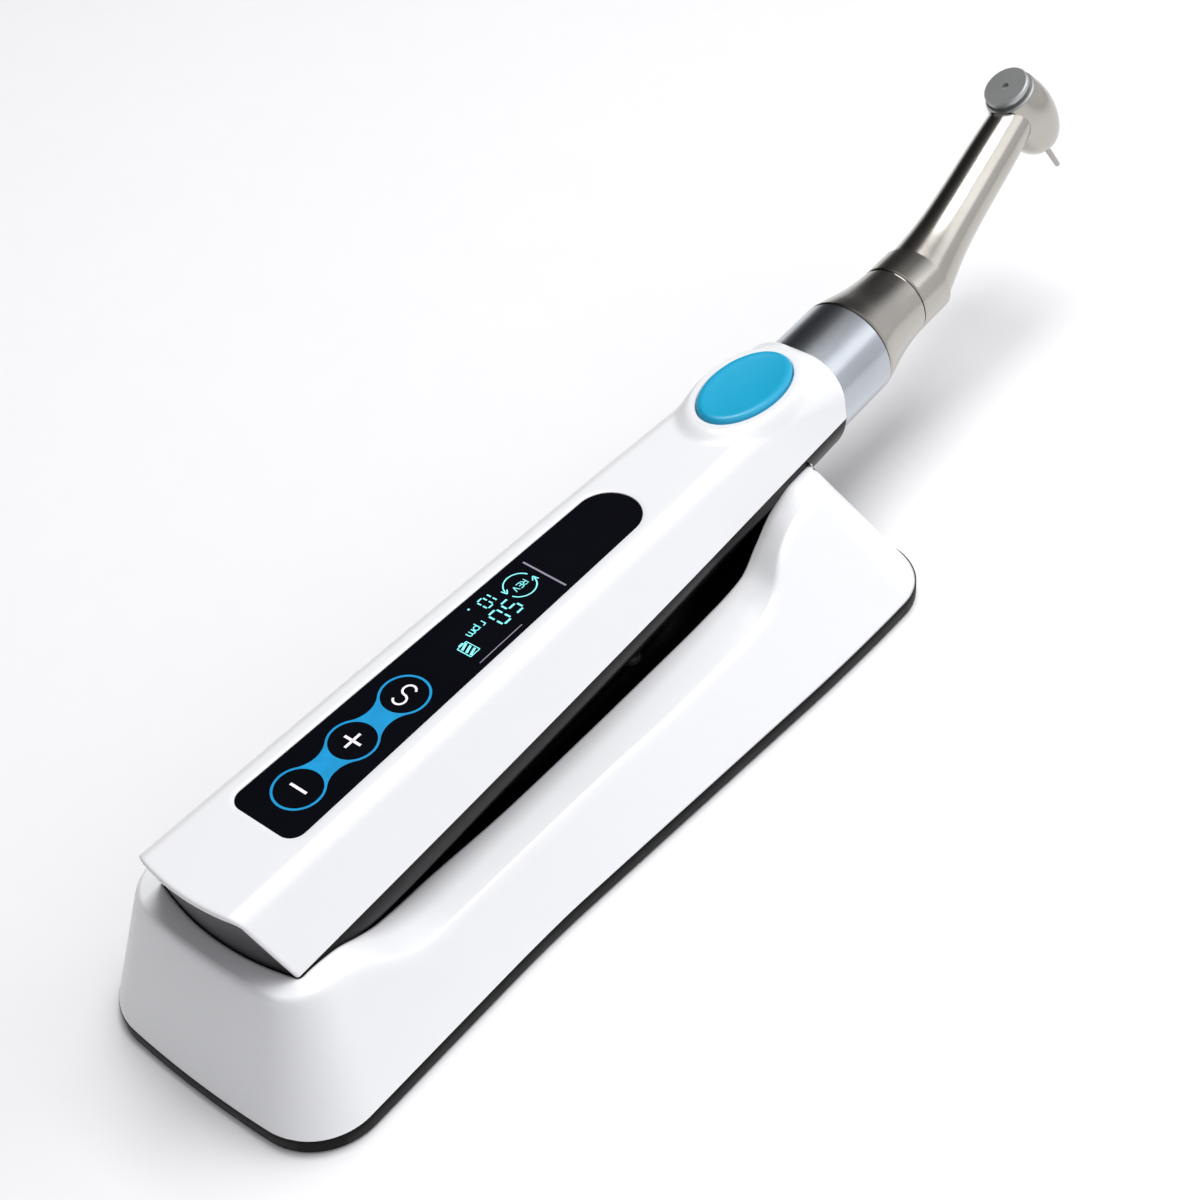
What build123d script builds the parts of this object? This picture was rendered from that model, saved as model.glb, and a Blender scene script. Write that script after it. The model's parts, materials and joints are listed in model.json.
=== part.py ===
from build123d import *
import os
from math import cos, pi, radians, sin

# Cordless endodontic motor: a handpiece that lies in a charging cradle, with a contra-angle head.
# Row frame: +X towards the head, +Y the handpiece's left, +Z up, origin on the table under the
# middle of the cradle. Millimetres.

# ------------------------------------------------------------------ driving dimensions
TOP = 38.5  # height of the handpiece's flat top
LIP_X = -67.4  # rear lip of the upper shell
NOSE_X = 74.5  # front end of the handpiece body, where it is round
WALL = 1.8  # handpiece shell wall
PART_Z_REAR = 25.2  # parting line height at the rear lip
PART_SLOPE = 0.0201  # parting line rise per mm towards the nose
UNDERCUT = 0.2  # rear face, mm forwards per mm down
REAR_BULGE_R = 42.0  # plan radius of the rear face

# handpiece sections: x, half width of the top, shoulder radius, half width at the parting line
STATIONS = [
    (-76.0, 10.1, 2.6, 14.3),
    (-25.0, 9.7, 2.6, 13.4),
    (25.0, 8.7, 2.8, 12.1),
    (55.0, 8.2, 3.4, 11.0),
    (NOSE_X, 9.4, 7.6, 10.3),
]

MINUS_X = -45.0  # centre of the minus key
KEY_PITCH = 10.8
KEY_R = 3.5
KEY_TRAVEL = 0.3
PANEL_REAR_X = -52.5
PANEL_TIP_X = 28.7
PANEL_REAR_HALF = 6.5
PANEL_FRONT_HALF = 5.5
PANEL_THICK = 1.1

BUTTON_X = 59.6
BUTTON_RX, BUTTON_RY = 10.4, 6.25
BUTTON_TOP = TOP + 2.1
BUTTON_TRAVEL = 0.6
BOSS_TOP = TOP + 1.3

DRIVE_X, DRIVE_Z = 75.0, 28.1  # a point of the motor axis, at the nose
DRIVE_TILT = 3.5  # motor axis, degrees above the table
SWIVEL = 15.0  # contra-angle turned to the left at rest
BEND = 16.5  # neck bends up from the motor axis
HEAD_LEAN = 8.5  # head axis leans back from square to the neck
ELBOW_S = 37.0  # nose to elbow along the motor axis
NECK_LENGTH = 42.7  # elbow to head centre
SLEEVE_R = 9.5
BARREL_R = 7.1
RING_1_S = 14.5  # joint between sleeve and contra-angle
RING_2_S = 29.3  # joint between barrel and neck piece
SPIGOT_R = 6.0
SHAFT_R = 1.5
RUN = 0.05  # radial running clearance

PLATE_Z0, PLATE_Z1 = 0.8, 2.4  # cradle bottom plate, over the anti-slip mat
CRADLE_TOP = 27.0  # height where the tapered walls are drawn to, above the rim
RIM_REAR_Z, RIM_FRONT_Z = 25.1, 26.3
CRADLE_WALL = 2.2
CRADLE_FOOT = (-75.2, 77.5, 24.5, 29.8)  # plan at the foot: rear, front, half widths
CRADLE_HEAD = (-67.0, 64.5, 17.8, 15.4)  # plan at the top
LINER_X0, LINER_X1 = -41.0, 44.0
LINER_OUT, LINER_IN = 3.2, 2.0  # liner faces, out from the trough
TROUGH_GAP = 0.6


# ------------------------------------------------------------------ axes and planes
def blend(a, b, degrees_):
    """Unit vector at an angle from a, turning towards b."""
    return a * cos(radians(degrees_)) + b * sin(radians(degrees_))


forward = blend(Vector(1, 0, 0), Vector(0, 0, 1), DRIVE_TILT)
upward = blend(Vector(0, 0, 1), Vector(-1, 0, 0), DRIVE_TILT)
lean = blend(upward, Vector(0, 1, 0), SWIVEL)
nose = Vector(DRIVE_X, 0, DRIVE_Z)
elbow = nose + forward * ELBOW_S
neck_dir = blend(forward, lean, BEND)
neck_up = blend(lean, forward * -1, BEND)
head = elbow + neck_dir * NECK_LENGTH
head_up = blend(neck_up, neck_dir * -1, HEAD_LEAN)
head_out = blend(neck_dir, neck_up, HEAD_LEAN)

# cross planes have their normal along the axis; half planes have x along it and y as the radius
drive_cross = Plane(nose, x_dir=lean, z_dir=forward)
drive_half = Plane(nose, x_dir=forward, z_dir=forward.cross(lean))
neck_cross = Plane(elbow, x_dir=neck_up, z_dir=neck_dir)
neck_half = Plane(elbow, x_dir=neck_dir, z_dir=neck_dir.cross(neck_up))
head_cross = Plane(head, x_dir=head_out, z_dir=head_up)
head_half = Plane(head, x_dir=head_up, z_dir=head_up.cross(head_out))
drive_axis = Axis(nose, forward)
neck_axis = Axis(elbow, neck_dir)
head_axis = Axis(head, head_up)


def parting_z(x):
    return PART_Z_REAR + PART_SLOPE * (x - LIP_X)


parting_plane = Plane(origin=(LIP_X, 0, PART_Z_REAR), z_dir=(-PART_SLOPE, 0, 1))


# ------------------------------------------------------------------ shared profiles
def lathe_profile(plane, *points):
    """Face bounded by straight lines through (along the axis, radius) points of a half plane."""
    with BuildSketch(plane) as profile:
        with BuildLine():
            Polyline(*points, close=True)
        make_face()
    return profile.sketch


def ring_profile(plane, start, end, inner, outer):
    """Face of a plain ring or rod, between two stations and two radii."""
    return lathe_profile(plane, (start, inner), (end, inner), (end, outer), (start, outer))


def cross_section(x):
    """Upright sketch plane across the handpiece, with local x along +Y and local y along +Z."""
    return Plane(origin=(x, 0, 0), x_dir=(0, 1, 0), z_dir=(1, 0, 0))


def hull_section(x, half_top, shoulder, half_wide, grow):
    """Handpiece section: flat top, round shoulders, sloping sides and a half-round belly."""
    side, top, z = half_wide + grow, half_top + grow, parting_z(x)
    with BuildSketch(cross_section(x)) as section:
        with BuildLine():
            Polyline((side, z), (top, TOP + grow), (-top, TOP + grow), (-side, z))
            ThreePointArc((-side, z), (0, z - side), (side, z))
        make_face()
        fillet(section.vertices().group_by(Axis.Y)[-1], shoulder + grow)
    return section.sketch


def trough_section(x, half_wide):
    """Cradle trough section: the handpiece's belly with a gap, and upright sides to lift it out."""
    side, z = half_wide + TROUGH_GAP, parting_z(x)
    with BuildSketch(cross_section(x)) as section:
        with BuildLine():
            Polyline((side, z), (side, TOP + 30), (-side, TOP + 30), (-side, z))
            ThreePointArc((-side, z), (0, z - side), (side, z))
        make_face()
    return section.sketch


def hull_solid(grow):
    """The handpiece's closed outer form, grown or shrunk by an even amount."""
    with BuildPart() as hull:
        loft(sections=[hull_section(*station, grow) for station in STATIONS], ruled=True)
    return hull.part


def trough_solid(grow):
    """The space the cradle leaves for the handpiece."""
    sections = [trough_section(x, half_wide + grow) for x, _, _, half_wide in STATIONS]
    sections.append(trough_section(NOSE_X + 30, STATIONS[-1][3] + grow))
    with BuildPart() as trough:
        loft(sections=sections)
        add(end_block(TROUGH_GAP + grow), mode=Mode.INTERSECT)
    return trough.part


def end_block(behind):
    """Everything in front of the handpiece's undercut rear face, moved back by an amount."""
    face = Plane(origin=(LIP_X, 0, TOP), x_dir=(0, 1, 0), z_dir=(UNDERCUT, 0, -1))
    half, length = 22.0, 190.0
    sag = half * half / (2 * REAR_BULGE_R)
    with BuildPart() as block:
        with BuildSketch(face):
            with BuildLine():
                ThreePointArc((-half, sag - behind), (0, -behind), (half, sag - behind))
                Polyline((half, sag - behind), (half, length), (-half, length), (-half, sag - behind))
            make_face()
        extrude(amount=60, both=True)
    return block.part


def panel_outline(grow):
    """Display panel outline: square rear end with rounded corners, full round front end."""
    half_rear, half_front = PANEL_REAR_HALF + grow, PANEL_FRONT_HALF + grow
    rear, tip = PANEL_REAR_X - grow, PANEL_TIP_X + grow
    with BuildSketch() as outline:
        with BuildLine():
            Polyline((tip - half_front, -half_front), (rear, -half_rear), (rear, half_rear),
                     (tip - half_front, half_front))
            ThreePointArc((tip - half_front, half_front), (tip, 0), (tip - half_front, -half_front))
        make_face()
        fillet(outline.vertices().group_by(Axis.X)[0], 2.4 + grow)
    return outline.sketch


def cradle_outline(rear, front, rear_half, front_half, corner, grow):
    """Cradle plan outline: bowed ends, a parallel rear part and sides that flare to the front."""
    waist_x, flare_x = -25.0, 50.0
    rear, front = rear - grow, front + grow
    rear_half, front_half = rear_half + grow, front_half + grow
    with BuildSketch() as outline:
        with BuildLine():
            Polyline((rear + 1.5, rear_half), (waist_x, rear_half), (flare_x, front_half),
                     (front - 6, front_half))
            ThreePointArc((front - 6, front_half), (front, 0), (front - 6, -front_half))
            Polyline((front - 6, -front_half), (flare_x, -front_half), (waist_x, -rear_half),
                     (rear + 1.5, -rear_half))
            ThreePointArc((rear + 1.5, -rear_half), (rear, 0), (rear + 1.5, rear_half))
        make_face()
        ends = outline.vertices().sort_by(Axis.X)
        fillet(ends[:2] + ends[-2:], corner)
        fillet(outline.vertices().filter_by(lambda v: abs(v.X - waist_x) < 0.01), 90)
        fillet(outline.vertices().filter_by(lambda v: abs(v.X - flare_x) < 0.01), 25)
    return outline.sketch


def cradle_block(grow, bottom, top):
    """The cradle's tapered outer form between two heights."""
    with BuildPart() as block:
        low = Plane.XY.offset(bottom) * cradle_outline(*CRADLE_FOOT, 11.0 + grow, grow)
        high = Plane.XY.offset(top) * cradle_outline(*CRADLE_HEAD, 6.5 + grow, grow)
        loft(sections=[low, high])
    return block.part


def saddle_solid(drop):
    """What is cut away above the cradle's rim, with a long dip between its two high ends."""
    with BuildPart() as rim:
        with BuildSketch(Plane.XZ):
            with BuildLine():
                Polyline((-80, RIM_REAR_Z - drop), (80, RIM_FRONT_Z - drop), (80, 60), (-80, 60),
                         close=True)
            make_face()
        extrude(amount=34, both=True)
    with BuildPart() as dip:
        with BuildSketch(Plane.XZ) as dip_profile:
            with BuildLine():
                Polyline((-61, 27 - drop), (-57.5, 24.2 - drop), (-46, 15.0 - drop),
                         (39, 14.4 - drop), (47, 25 - drop), (49, 28 - drop), close=True)
            make_face()
            low = dip_profile.vertices().sort_by(Axis.Y)[:2].sort_by(Axis.X)
            fillet(low[0], 12)
            fillet(dip_profile.vertices().group_by(Axis.Y)[0], 8)
        extrude(amount=34, both=True, taper=6)
    return rim.part + dip.part


def liner_slab(inset):
    """The stretch of the cradle that the liner fills."""
    with BuildPart() as slab:
        with Locations(((LINER_X0 + LINER_X1) / 2, 0, 20)):
            Box(LINER_X1 - LINER_X0 - 2 * inset, 60, 60)
    return slab.part


def button_prism(grow, low, high):
    """Upright oval solid at the start button's place."""
    with BuildPart() as prism:
        with BuildSketch(Plane.XY.offset(low)):
            with Locations((BUTTON_X, 0)):
                Ellipse(BUTTON_RX + grow, BUTTON_RY + grow)
        extrude(amount=high - low)
    return prism.part


def panel_prism(grow, low, high):
    """Upright solid of the display panel's outline."""
    with BuildPart() as prism:
        extrude(Plane.XY.offset(low) * panel_outline(grow), amount=high - low)
    return prism.part


def upright_rods(places, radius, low, high):
    """Round upright rods between two heights."""
    with BuildPart() as rods:
        with BuildSketch(Plane.XY.offset(low)):
            with Locations(*places):
                Circle(radius)
        extrude(amount=high - low)
    return rods.part


def finish(name, piece):
    """Label a finished piece and write it."""
    piece.label = name
    export_step(piece, f"parts/{name}.step")


os.makedirs("parts", exist_ok=True)

# ------------------------------------------------------------------ cradle
PIN_X = -25.0
PIN_PLACES = {"left": (PIN_X, 4.0), "right": (PIN_X, -4.0)}
PIN_TIP_R, PIN_BODY_R = 0.8, 1.3
CONTACT_Z = 14.1  # underside of the handpiece's charging contacts
PIN_TOP = CONTACT_Z - 0.05
HOLDER_LENGTH, HOLDER_WIDTH = 9.0, 13.0
HOLDER_Z0, HOLDER_Z1 = 5.4, 13.2
REAR_POSTS = [(-62.0, -13.0), (-62.0, 13.0)]
FRONT_POSTS = [(52.0, -10.5), (52.0, 10.5)]
CRADLE_SCREW_R = 1.25
INLET_Z = 9.5
INLET_FACE_X = 73.6
INLET_BARREL_R = 4.4

with BuildPart() as liner_room:
    add(trough_solid(LINER_OUT + CRADLE_WALL))
    add(liner_slab(-CRADLE_WALL), mode=Mode.INTERSECT)

with BuildPart() as cradle_core:
    add(cradle_block(-CRADLE_WALL, PLATE_Z1 - 1, CRADLE_TOP - CRADLE_WALL))
    add(saddle_solid(CRADLE_WALL * 1.2), mode=Mode.SUBTRACT)
    add(trough_solid(CRADLE_WALL), mode=Mode.SUBTRACT)
    add(liner_room.part, mode=Mode.SUBTRACT)
    add(upright_rods(REAR_POSTS, 3, 0, 14), mode=Mode.SUBTRACT)
    add(upright_rods(FRONT_POSTS, 3, 0, 17.5), mode=Mode.SUBTRACT)

with BuildPart() as liner_pocket:
    add(trough_solid(LINER_OUT))
    add(liner_slab(0), mode=Mode.INTERSECT)

with BuildPart() as cradle_shell:
    add(cradle_block(0, PLATE_Z1, CRADLE_TOP))
    add(saddle_solid(0), mode=Mode.SUBTRACT)
    add(trough_solid(0), mode=Mode.SUBTRACT)
    add(liner_pocket.part, mode=Mode.SUBTRACT)
    add(cradle_core.part, mode=Mode.SUBTRACT)
    add(upright_rods(REAR_POSTS + FRONT_POSTS, CRADLE_SCREW_R + 0.05, 0, 9.5), mode=Mode.SUBTRACT)
    with Locations((PIN_X, 0, HOLDER_Z1)):
        Box(HOLDER_LENGTH + 0.1, HOLDER_WIDTH + 0.1, 16, mode=Mode.SUBTRACT)
    with BuildSketch(Plane.YZ.offset(60)):
        with Locations((0, INLET_Z)):
            Circle(INLET_BARREL_R + 0.1)
    extrude(amount=30, mode=Mode.SUBTRACT)
finish("cradle_shell", cradle_shell.part)

with BuildPart() as cradle_liner:
    add(cradle_block(-3, PLATE_Z1, CRADLE_TOP))
    add(saddle_solid(0.2), mode=Mode.SUBTRACT)
    add(trough_solid(LINER_OUT - 0.05), mode=Mode.INTERSECT)
    add(liner_slab(0.05), mode=Mode.INTERSECT)
    add(trough_solid(LINER_IN), mode=Mode.SUBTRACT)
    with Locations((PIN_X, 0, HOLDER_Z1)):
        Box(HOLDER_LENGTH + 0.1, HOLDER_WIDTH + 0.1, 16, mode=Mode.SUBTRACT)
finish("cradle_liner", cradle_liner.part)

with BuildPart() as cradle_plate:
    with BuildSketch(Plane.XY.offset(PLATE_Z0)):
        add(cradle_outline(*CRADLE_FOOT, 10.5, -0.5))
    extrude(amount=PLATE_Z1 - PLATE_Z0)
    add(upright_rods([(-41, -7), (-41, 7), (40, -7), (40, 7)], 2, PLATE_Z1, 4.2))
    add(upright_rods(REAR_POSTS + FRONT_POSTS, CRADLE_SCREW_R + 0.2, 0, 3), mode=Mode.SUBTRACT)
    add(upright_rods(REAR_POSTS + FRONT_POSTS, 2.8, 0, PLATE_Z0 + 1), mode=Mode.SUBTRACT)
finish("cradle_plate", cradle_plate.part)

with BuildPart() as anti_slip_mat:
    add(Plane.XY * cradle_outline(*CRADLE_FOOT, 9.5, -1.5))
    extrude(amount=PLATE_Z0)
finish("anti_slip_mat", anti_slip_mat.part)

with BuildPart() as cradle_screws:
    add(upright_rods(REAR_POSTS + FRONT_POSTS, 2.6, PLATE_Z0 + 0.05, PLATE_Z0 + 1))
    add(upright_rods(REAR_POSTS + FRONT_POSTS, CRADLE_SCREW_R, PLATE_Z0 + 1, 9))
finish("cradle_screws", cradle_screws.part)

with BuildPart() as charge_board:
    with Locations((0.5, 0, 4.2)):
        Box(91, 19, 1.2, align=(Align.CENTER, Align.CENTER, Align.MIN))
    with Locations((20, 0, 5.4), (34, -4, 5.4), (5, 3, 5.4)):
        Box(8, 6, 1.6, align=(Align.CENTER, Align.CENTER, Align.MIN))
finish("charge_board", charge_board.part)

with BuildPart() as ballast_bars:
    with Locations((0, 15.5, PLATE_Z1), (0, -15.5, PLATE_Z1)):
        Box(78, 8, 4, align=(Align.CENTER, Align.CENTER, Align.MIN))
finish("ballast_bars", ballast_bars.part)

inlet_plane = Plane(origin=(INLET_FACE_X, 0, INLET_Z), x_dir=(0, 1, 0), z_dir=(-1, 0, 0))
with BuildPart() as charging_inlet:
    with BuildSketch(inlet_plane.offset(5.5)):
        Rectangle(9.2, 7)
    extrude(amount=7)
    with BuildSketch(inlet_plane):
        Circle(INLET_BARREL_R)
    extrude(amount=6)
    with BuildSketch(inlet_plane):
        Circle(2.75)
    extrude(amount=9.5, mode=Mode.SUBTRACT)
finish("charging_inlet", charging_inlet.part)

with BuildPart() as inlet_pin:
    with BuildSketch(inlet_plane.offset(0.8)):
        Circle(1.05)
    extrude(amount=8.7)
    fillet(inlet_pin.faces().sort_by(Axis.X)[-1].edges(), 0.5)
finish("inlet_pin", inlet_pin.part)

with BuildPart() as pin_holder:
    with Locations((PIN_X, 0, HOLDER_Z0)):
        Box(HOLDER_LENGTH, HOLDER_WIDTH, HOLDER_Z1 - HOLDER_Z0,
            align=(Align.CENTER, Align.CENTER, Align.MIN))
    chamfer(pin_holder.edges().group_by(Axis.Z)[-1], 0.4)
    add(upright_rods(PIN_PLACES.values(), PIN_BODY_R + RUN, 6.9, 12.4), mode=Mode.SUBTRACT)
    add(upright_rods(PIN_PLACES.values(), PIN_TIP_R + RUN, 12.3, 14), mode=Mode.SUBTRACT)
finish("pin_holder", pin_holder.part)

for side_name, place in PIN_PLACES.items():
    with BuildPart() as charge_pin:
        add(upright_rods([place], PIN_BODY_R, 8.2, 12.3))
        add(upright_rods([place], PIN_TIP_R, 12.3, PIN_TOP))
        fillet(charge_pin.edges().group_by(Axis.Z)[-1], 0.4)
    finish(f"charge_pin_{side_name}", charge_pin.part)
    with BuildPart() as pin_spring:
        add(upright_rods([place], 1.15, 6.95, 8.15))
        add(upright_rods([place], 0.75, 6, 9), mode=Mode.SUBTRACT)
    finish(f"pin_spring_{side_name}", pin_spring.part)

# ------------------------------------------------------------------ handpiece shells
SHELL_POSTS = [(-58.4, -4.4), (-58.4, 4.4), (17.0, -7.2), (17.0, 7.2)]
CAP_FRONT, CAP_BACK = 1.7, 0.5  # rear cap's faces, in from the rear lip
CONTACT_BLOCK = (16.0, 12.0, 2.2)

with BuildPart() as cavity:
    add(hull_solid(-WALL))
    add(upright_rods(SHELL_POSTS, 2.6, 0, TOP), mode=Mode.SUBTRACT)

with BuildPart() as cap_seat:
    add(hull_solid(-0.8))
    add(end_block(-CAP_FRONT), mode=Mode.SUBTRACT)

with BuildPart() as button_boss:
    for height, rx, ry in ((TOP - 3.5, 14.3, 10.2), (BOSS_TOP, 12.3, 8.2)):
        with BuildSketch(Plane.XY.offset(height)):
            with Locations((BUTTON_X, 0)):
                Ellipse(rx, ry)
    loft()
    fillet(button_boss.edges().group_by(Axis.Z)[-1], 0.8)

with BuildPart() as upper_shell:
    add(hull_solid(0))
    add(button_boss.part)
    add(cavity.part, mode=Mode.SUBTRACT)
    add(cap_seat.part, mode=Mode.SUBTRACT)
    add(end_block(0), mode=Mode.INTERSECT)
    split(bisect_by=parting_plane, keep=Keep.TOP)
    add(panel_prism(0.05, TOP - 1.3, TOP + 1), mode=Mode.SUBTRACT)
    add(panel_prism(-1.0, TOP - 3, TOP + 1), mode=Mode.SUBTRACT)
    add(button_prism(0.25, TOP - 4, TOP + 4), mode=Mode.SUBTRACT)
    add(button_prism(1.3, TOP - 4, TOP - 0.6), mode=Mode.SUBTRACT)
    add(upright_rods(SHELL_POSTS, 1.05, 20, 31), mode=Mode.SUBTRACT)
finish("upper_shell", upper_shell.part)

with BuildPart() as lower_shell:
    add(hull_solid(0))
    add(cavity.part, mode=Mode.SUBTRACT)
    add(cap_seat.part, mode=Mode.SUBTRACT)
    add(end_block(0), mode=Mode.INTERSECT)
    split(bisect_by=parting_plane, keep=Keep.BOTTOM)
    add(upright_rods(SHELL_POSTS, 1.15, 10, 31), mode=Mode.SUBTRACT)
    add(upright_rods(SHELL_POSTS, 1.9, 5, 17.4), mode=Mode.SUBTRACT)
    with Locations((PIN_X, 0, CONTACT_Z + CONTACT_BLOCK[2])):
        Box(CONTACT_BLOCK[0] + 0.1, CONTACT_BLOCK[1] + 0.1, 8, mode=Mode.SUBTRACT,
            align=(Align.CENTER, Align.CENTER, Align.MAX))
finish("lower_shell", lower_shell.part)

with BuildPart() as rear_cap:
    add(hull_solid(-0.8))
    add(end_block(-CAP_BACK), mode=Mode.INTERSECT)
    add(end_block(-CAP_FRONT), mode=Mode.SUBTRACT)
finish("rear_cap", rear_cap.part)

with BuildPart() as shell_screws:
    add(upright_rods(SHELL_POSTS, 1.8, 16.1, 17.35))
    add(upright_rods(SHELL_POSTS, 1.0, 17.35, 30))
finish("shell_screws", shell_screws.part)

with BuildPart() as contact_block:
    with Locations((PIN_X, 0, CONTACT_Z)):
        Box(*CONTACT_BLOCK, align=(Align.CENTER, Align.CENTER, Align.MIN))
    add(upright_rods(PIN_PLACES.values(), 2.0, CONTACT_Z, CONTACT_Z + 0.6), mode=Mode.SUBTRACT)
finish("contact_block", contact_block.part)

with BuildPart() as contact_pads:
    add(upright_rods(PIN_PLACES.values(), 1.95, CONTACT_Z, CONTACT_Z + 0.6))
finish("contact_pads", contact_pads.part)

# ------------------------------------------------------------------ display and keys
PANEL_TOP = TOP - 0.15
PANEL_UNDER = PANEL_TOP - PANEL_THICK
KEYS = {
    "key_minus": MINUS_X,
    "key_plus": MINUS_X + KEY_PITCH,
    "key_s": MINUS_X + 2 * KEY_PITCH,
}
KEY_PLACES = [(x, 0) for x in KEYS.values()]
STEM_END = PANEL_UNDER - 0.7
MAT_TOP = STEM_END - KEY_TRAVEL - 0.1
BOARD_TOP = TOP - 4.4

with BuildPart() as display_panel:
    add(panel_prism(0, PANEL_UNDER, PANEL_TOP))
    add(upright_rods(KEY_PLACES, KEY_R + 0.1, PANEL_UNDER, PANEL_TOP), mode=Mode.SUBTRACT)
finish("display_panel", display_panel.part)

for key_name, key_x in KEYS.items():
    with BuildPart() as key:
        add(upright_rods([(key_x, 0)], KEY_R, PANEL_UNDER, PANEL_TOP))
        add(upright_rods([(key_x, 0)], 1.5, STEM_END, PANEL_UNDER))
    finish(key_name, key.part)

with BuildPart() as key_mat:
    with Locations((MINUS_X + KEY_PITCH, 0, BOARD_TOP)):
        Box(30, 9.4, MAT_TOP - BOARD_TOP - 0.4, align=(Align.CENTER, Align.CENTER, Align.MIN))
    add(upright_rods(KEY_PLACES, 2.2, MAT_TOP - 1, MAT_TOP))
finish("key_mat", key_mat.part)

with BuildPart() as display_module:
    with Locations((-6, 0, PANEL_UNDER)):
        Box(25, 9, 1.8, align=(Align.CENTER, Align.CENTER, Align.MAX))
    with Locations((-6, 0, BOARD_TOP)):
        Box(16, 3, 2, align=(Align.CENTER, Align.CENTER, Align.MIN))
finish("display_module", display_module.part)

with BuildPart() as main_board:
    with Locations((-20.5, 0, BOARD_TOP)):
        Box(65, 12.6, 1.0, align=(Align.CENTER, Align.CENTER, Align.MAX))
    with Locations((-40, 0, BOARD_TOP - 1), (-18, 2, BOARD_TOP - 1), (-28, -2, BOARD_TOP - 1)):
        Box(5, 5, 1.2, align=(Align.CENTER, Align.CENTER, Align.MAX))
finish("main_board", main_board.part)

with BuildPart() as buzzer:
    add(upright_rods([(5.5, 0)], 4.5, BOARD_TOP - 3.4, BOARD_TOP - 1))
    add(upright_rods([(5.5, 0)], 0.8, BOARD_TOP - 4, BOARD_TOP - 2.4), mode=Mode.SUBTRACT)
finish("buzzer", buzzer.part)

# ------------------------------------------------------------------ start button
LEDGE_Z = TOP - 0.6
SWITCH_TOP = TOP - 2.45

with BuildPart() as start_button:
    add(button_prism(0, LEDGE_Z - 0.9, BUTTON_TOP))
    fillet(start_button.edges().group_by(Axis.Z)[-1], 0.9)
    add(button_prism(1.0, LEDGE_Z - 0.9, LEDGE_Z - 0.1))
    add(upright_rods([(BUTTON_X, 0)], 1.6, SWITCH_TOP + BUTTON_TRAVEL + 0.1, LEDGE_Z - 0.9))
finish("start_button", start_button.part)

with BuildPart() as switch_board:
    with Locations((57, 0, TOP - 4.1)):
        Box(17, 9, 0.6, align=(Align.CENTER, Align.CENTER, Align.MIN))
finish("switch_board", switch_board.part)

with BuildPart() as start_switch:
    with Locations((BUTTON_X, 0, TOP - 3.5)):
        Box(5, 5, 0.7, align=(Align.CENTER, Align.CENTER, Align.MIN))
    add(upright_rods([(BUTTON_X, 0)], 1.5, TOP - 2.8, SWITCH_TOP))
finish("start_switch", start_switch.part)

# ------------------------------------------------------------------ battery
BATTERY_R = 7.0
BATTERY_X0, BATTERY_X1 = -54.0, -4.0
BATTERY_Z = 23.9


def battery_rod(x0, x1, radius):
    """Rod on the battery's axis."""
    with BuildPart() as rod:
        with BuildSketch(cross_section(x0)):
            with Locations((0, BATTERY_Z)):
                Circle(radius)
        extrude(amount=x1 - x0)
    return rod.part


with BuildPart() as battery_cell:
    add(battery_rod(BATTERY_X0, BATTERY_X1 - 1.2, BATTERY_R))
    fillet(battery_cell.edges(), 0.6)
    add(battery_rod(BATTERY_X1 - 1.2, BATTERY_X1, 2.7))
finish("battery_cell", battery_cell.part)

with BuildPart() as battery_terminals:
    add(battery_rod(BATTERY_X0 - 0.5, BATTERY_X0 - 0.05, 4.5))
    add(battery_rod(BATTERY_X1 + 0.05, BATTERY_X1 + 0.5, 4.5))
finish("battery_terminals", battery_terminals.part)

with BuildPart() as tray_ribs:
    with Locations((-50, 0, 5), (-40, 0, 5), (-10, 0, 5)):
        Box(3, 40, BATTERY_Z - 5, align=(Align.CENTER, Align.CENTER, Align.MIN))

with BuildPart() as battery_tray:
    add(tray_ribs.part)
    add(hull_solid(-WALL - 0.1), mode=Mode.INTERSECT)
    add(battery_rod(BATTERY_X0 - 9, BATTERY_X1 + 9, BATTERY_R + RUN), mode=Mode.SUBTRACT)
finish("battery_tray", battery_tray.part)

# ------------------------------------------------------------------ motor and nose
MOTOR_R = 6.5
MOTOR_REAR_S, MOTOR_FRONT_S = -50.0, -14.0
CLAMP_S = -28.0

with BuildPart() as motor_can:
    revolve(ring_profile(drive_half, MOTOR_REAR_S, MOTOR_FRONT_S, SHAFT_R + RUN, MOTOR_R),
            axis=drive_axis)
    chamfer(motor_can.edges().filter_by(GeomType.CIRCLE).sort_by(SortBy.RADIUS)[-2:], 0.5)
finish("motor_can", motor_can.part)

with BuildPart() as clamp_slab:
    with BuildSketch(drive_cross.offset(CLAMP_S)):
        Circle(20)
    extrude(amount=4)

with BuildPart() as motor_clamp:
    add(clamp_slab.part)
    add(hull_solid(-WALL - 0.1), mode=Mode.INTERSECT)
    revolve(ring_profile(drive_half, MOTOR_REAR_S, MOTOR_FRONT_S, 0, MOTOR_R + 0.02),
            axis=drive_axis, mode=Mode.SUBTRACT)
    with Locations((BUTTON_X, 0, TOP)):
        Box(40, 10, 9, mode=Mode.SUBTRACT)
finish("motor_clamp", motor_clamp.part)

BEARING_R = 4.5
with BuildPart() as nose_sleeve:
    revolve(lathe_profile(drive_half, (-9, BEARING_R), (-9, 8.3), (0.2, 8.3), (0.2, SLEEVE_R),
                          (RING_1_S - 0.5, SLEEVE_R), (RING_1_S - 0.2, SLEEVE_R - 0.3),
                          (RING_1_S - 0.2, SPIGOT_R + RUN), (1.5, SPIGOT_R + RUN), (1.5, 2.2),
                          (-5, 2.2), (-5, BEARING_R)), axis=drive_axis)
finish("nose_sleeve", nose_sleeve.part)

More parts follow.
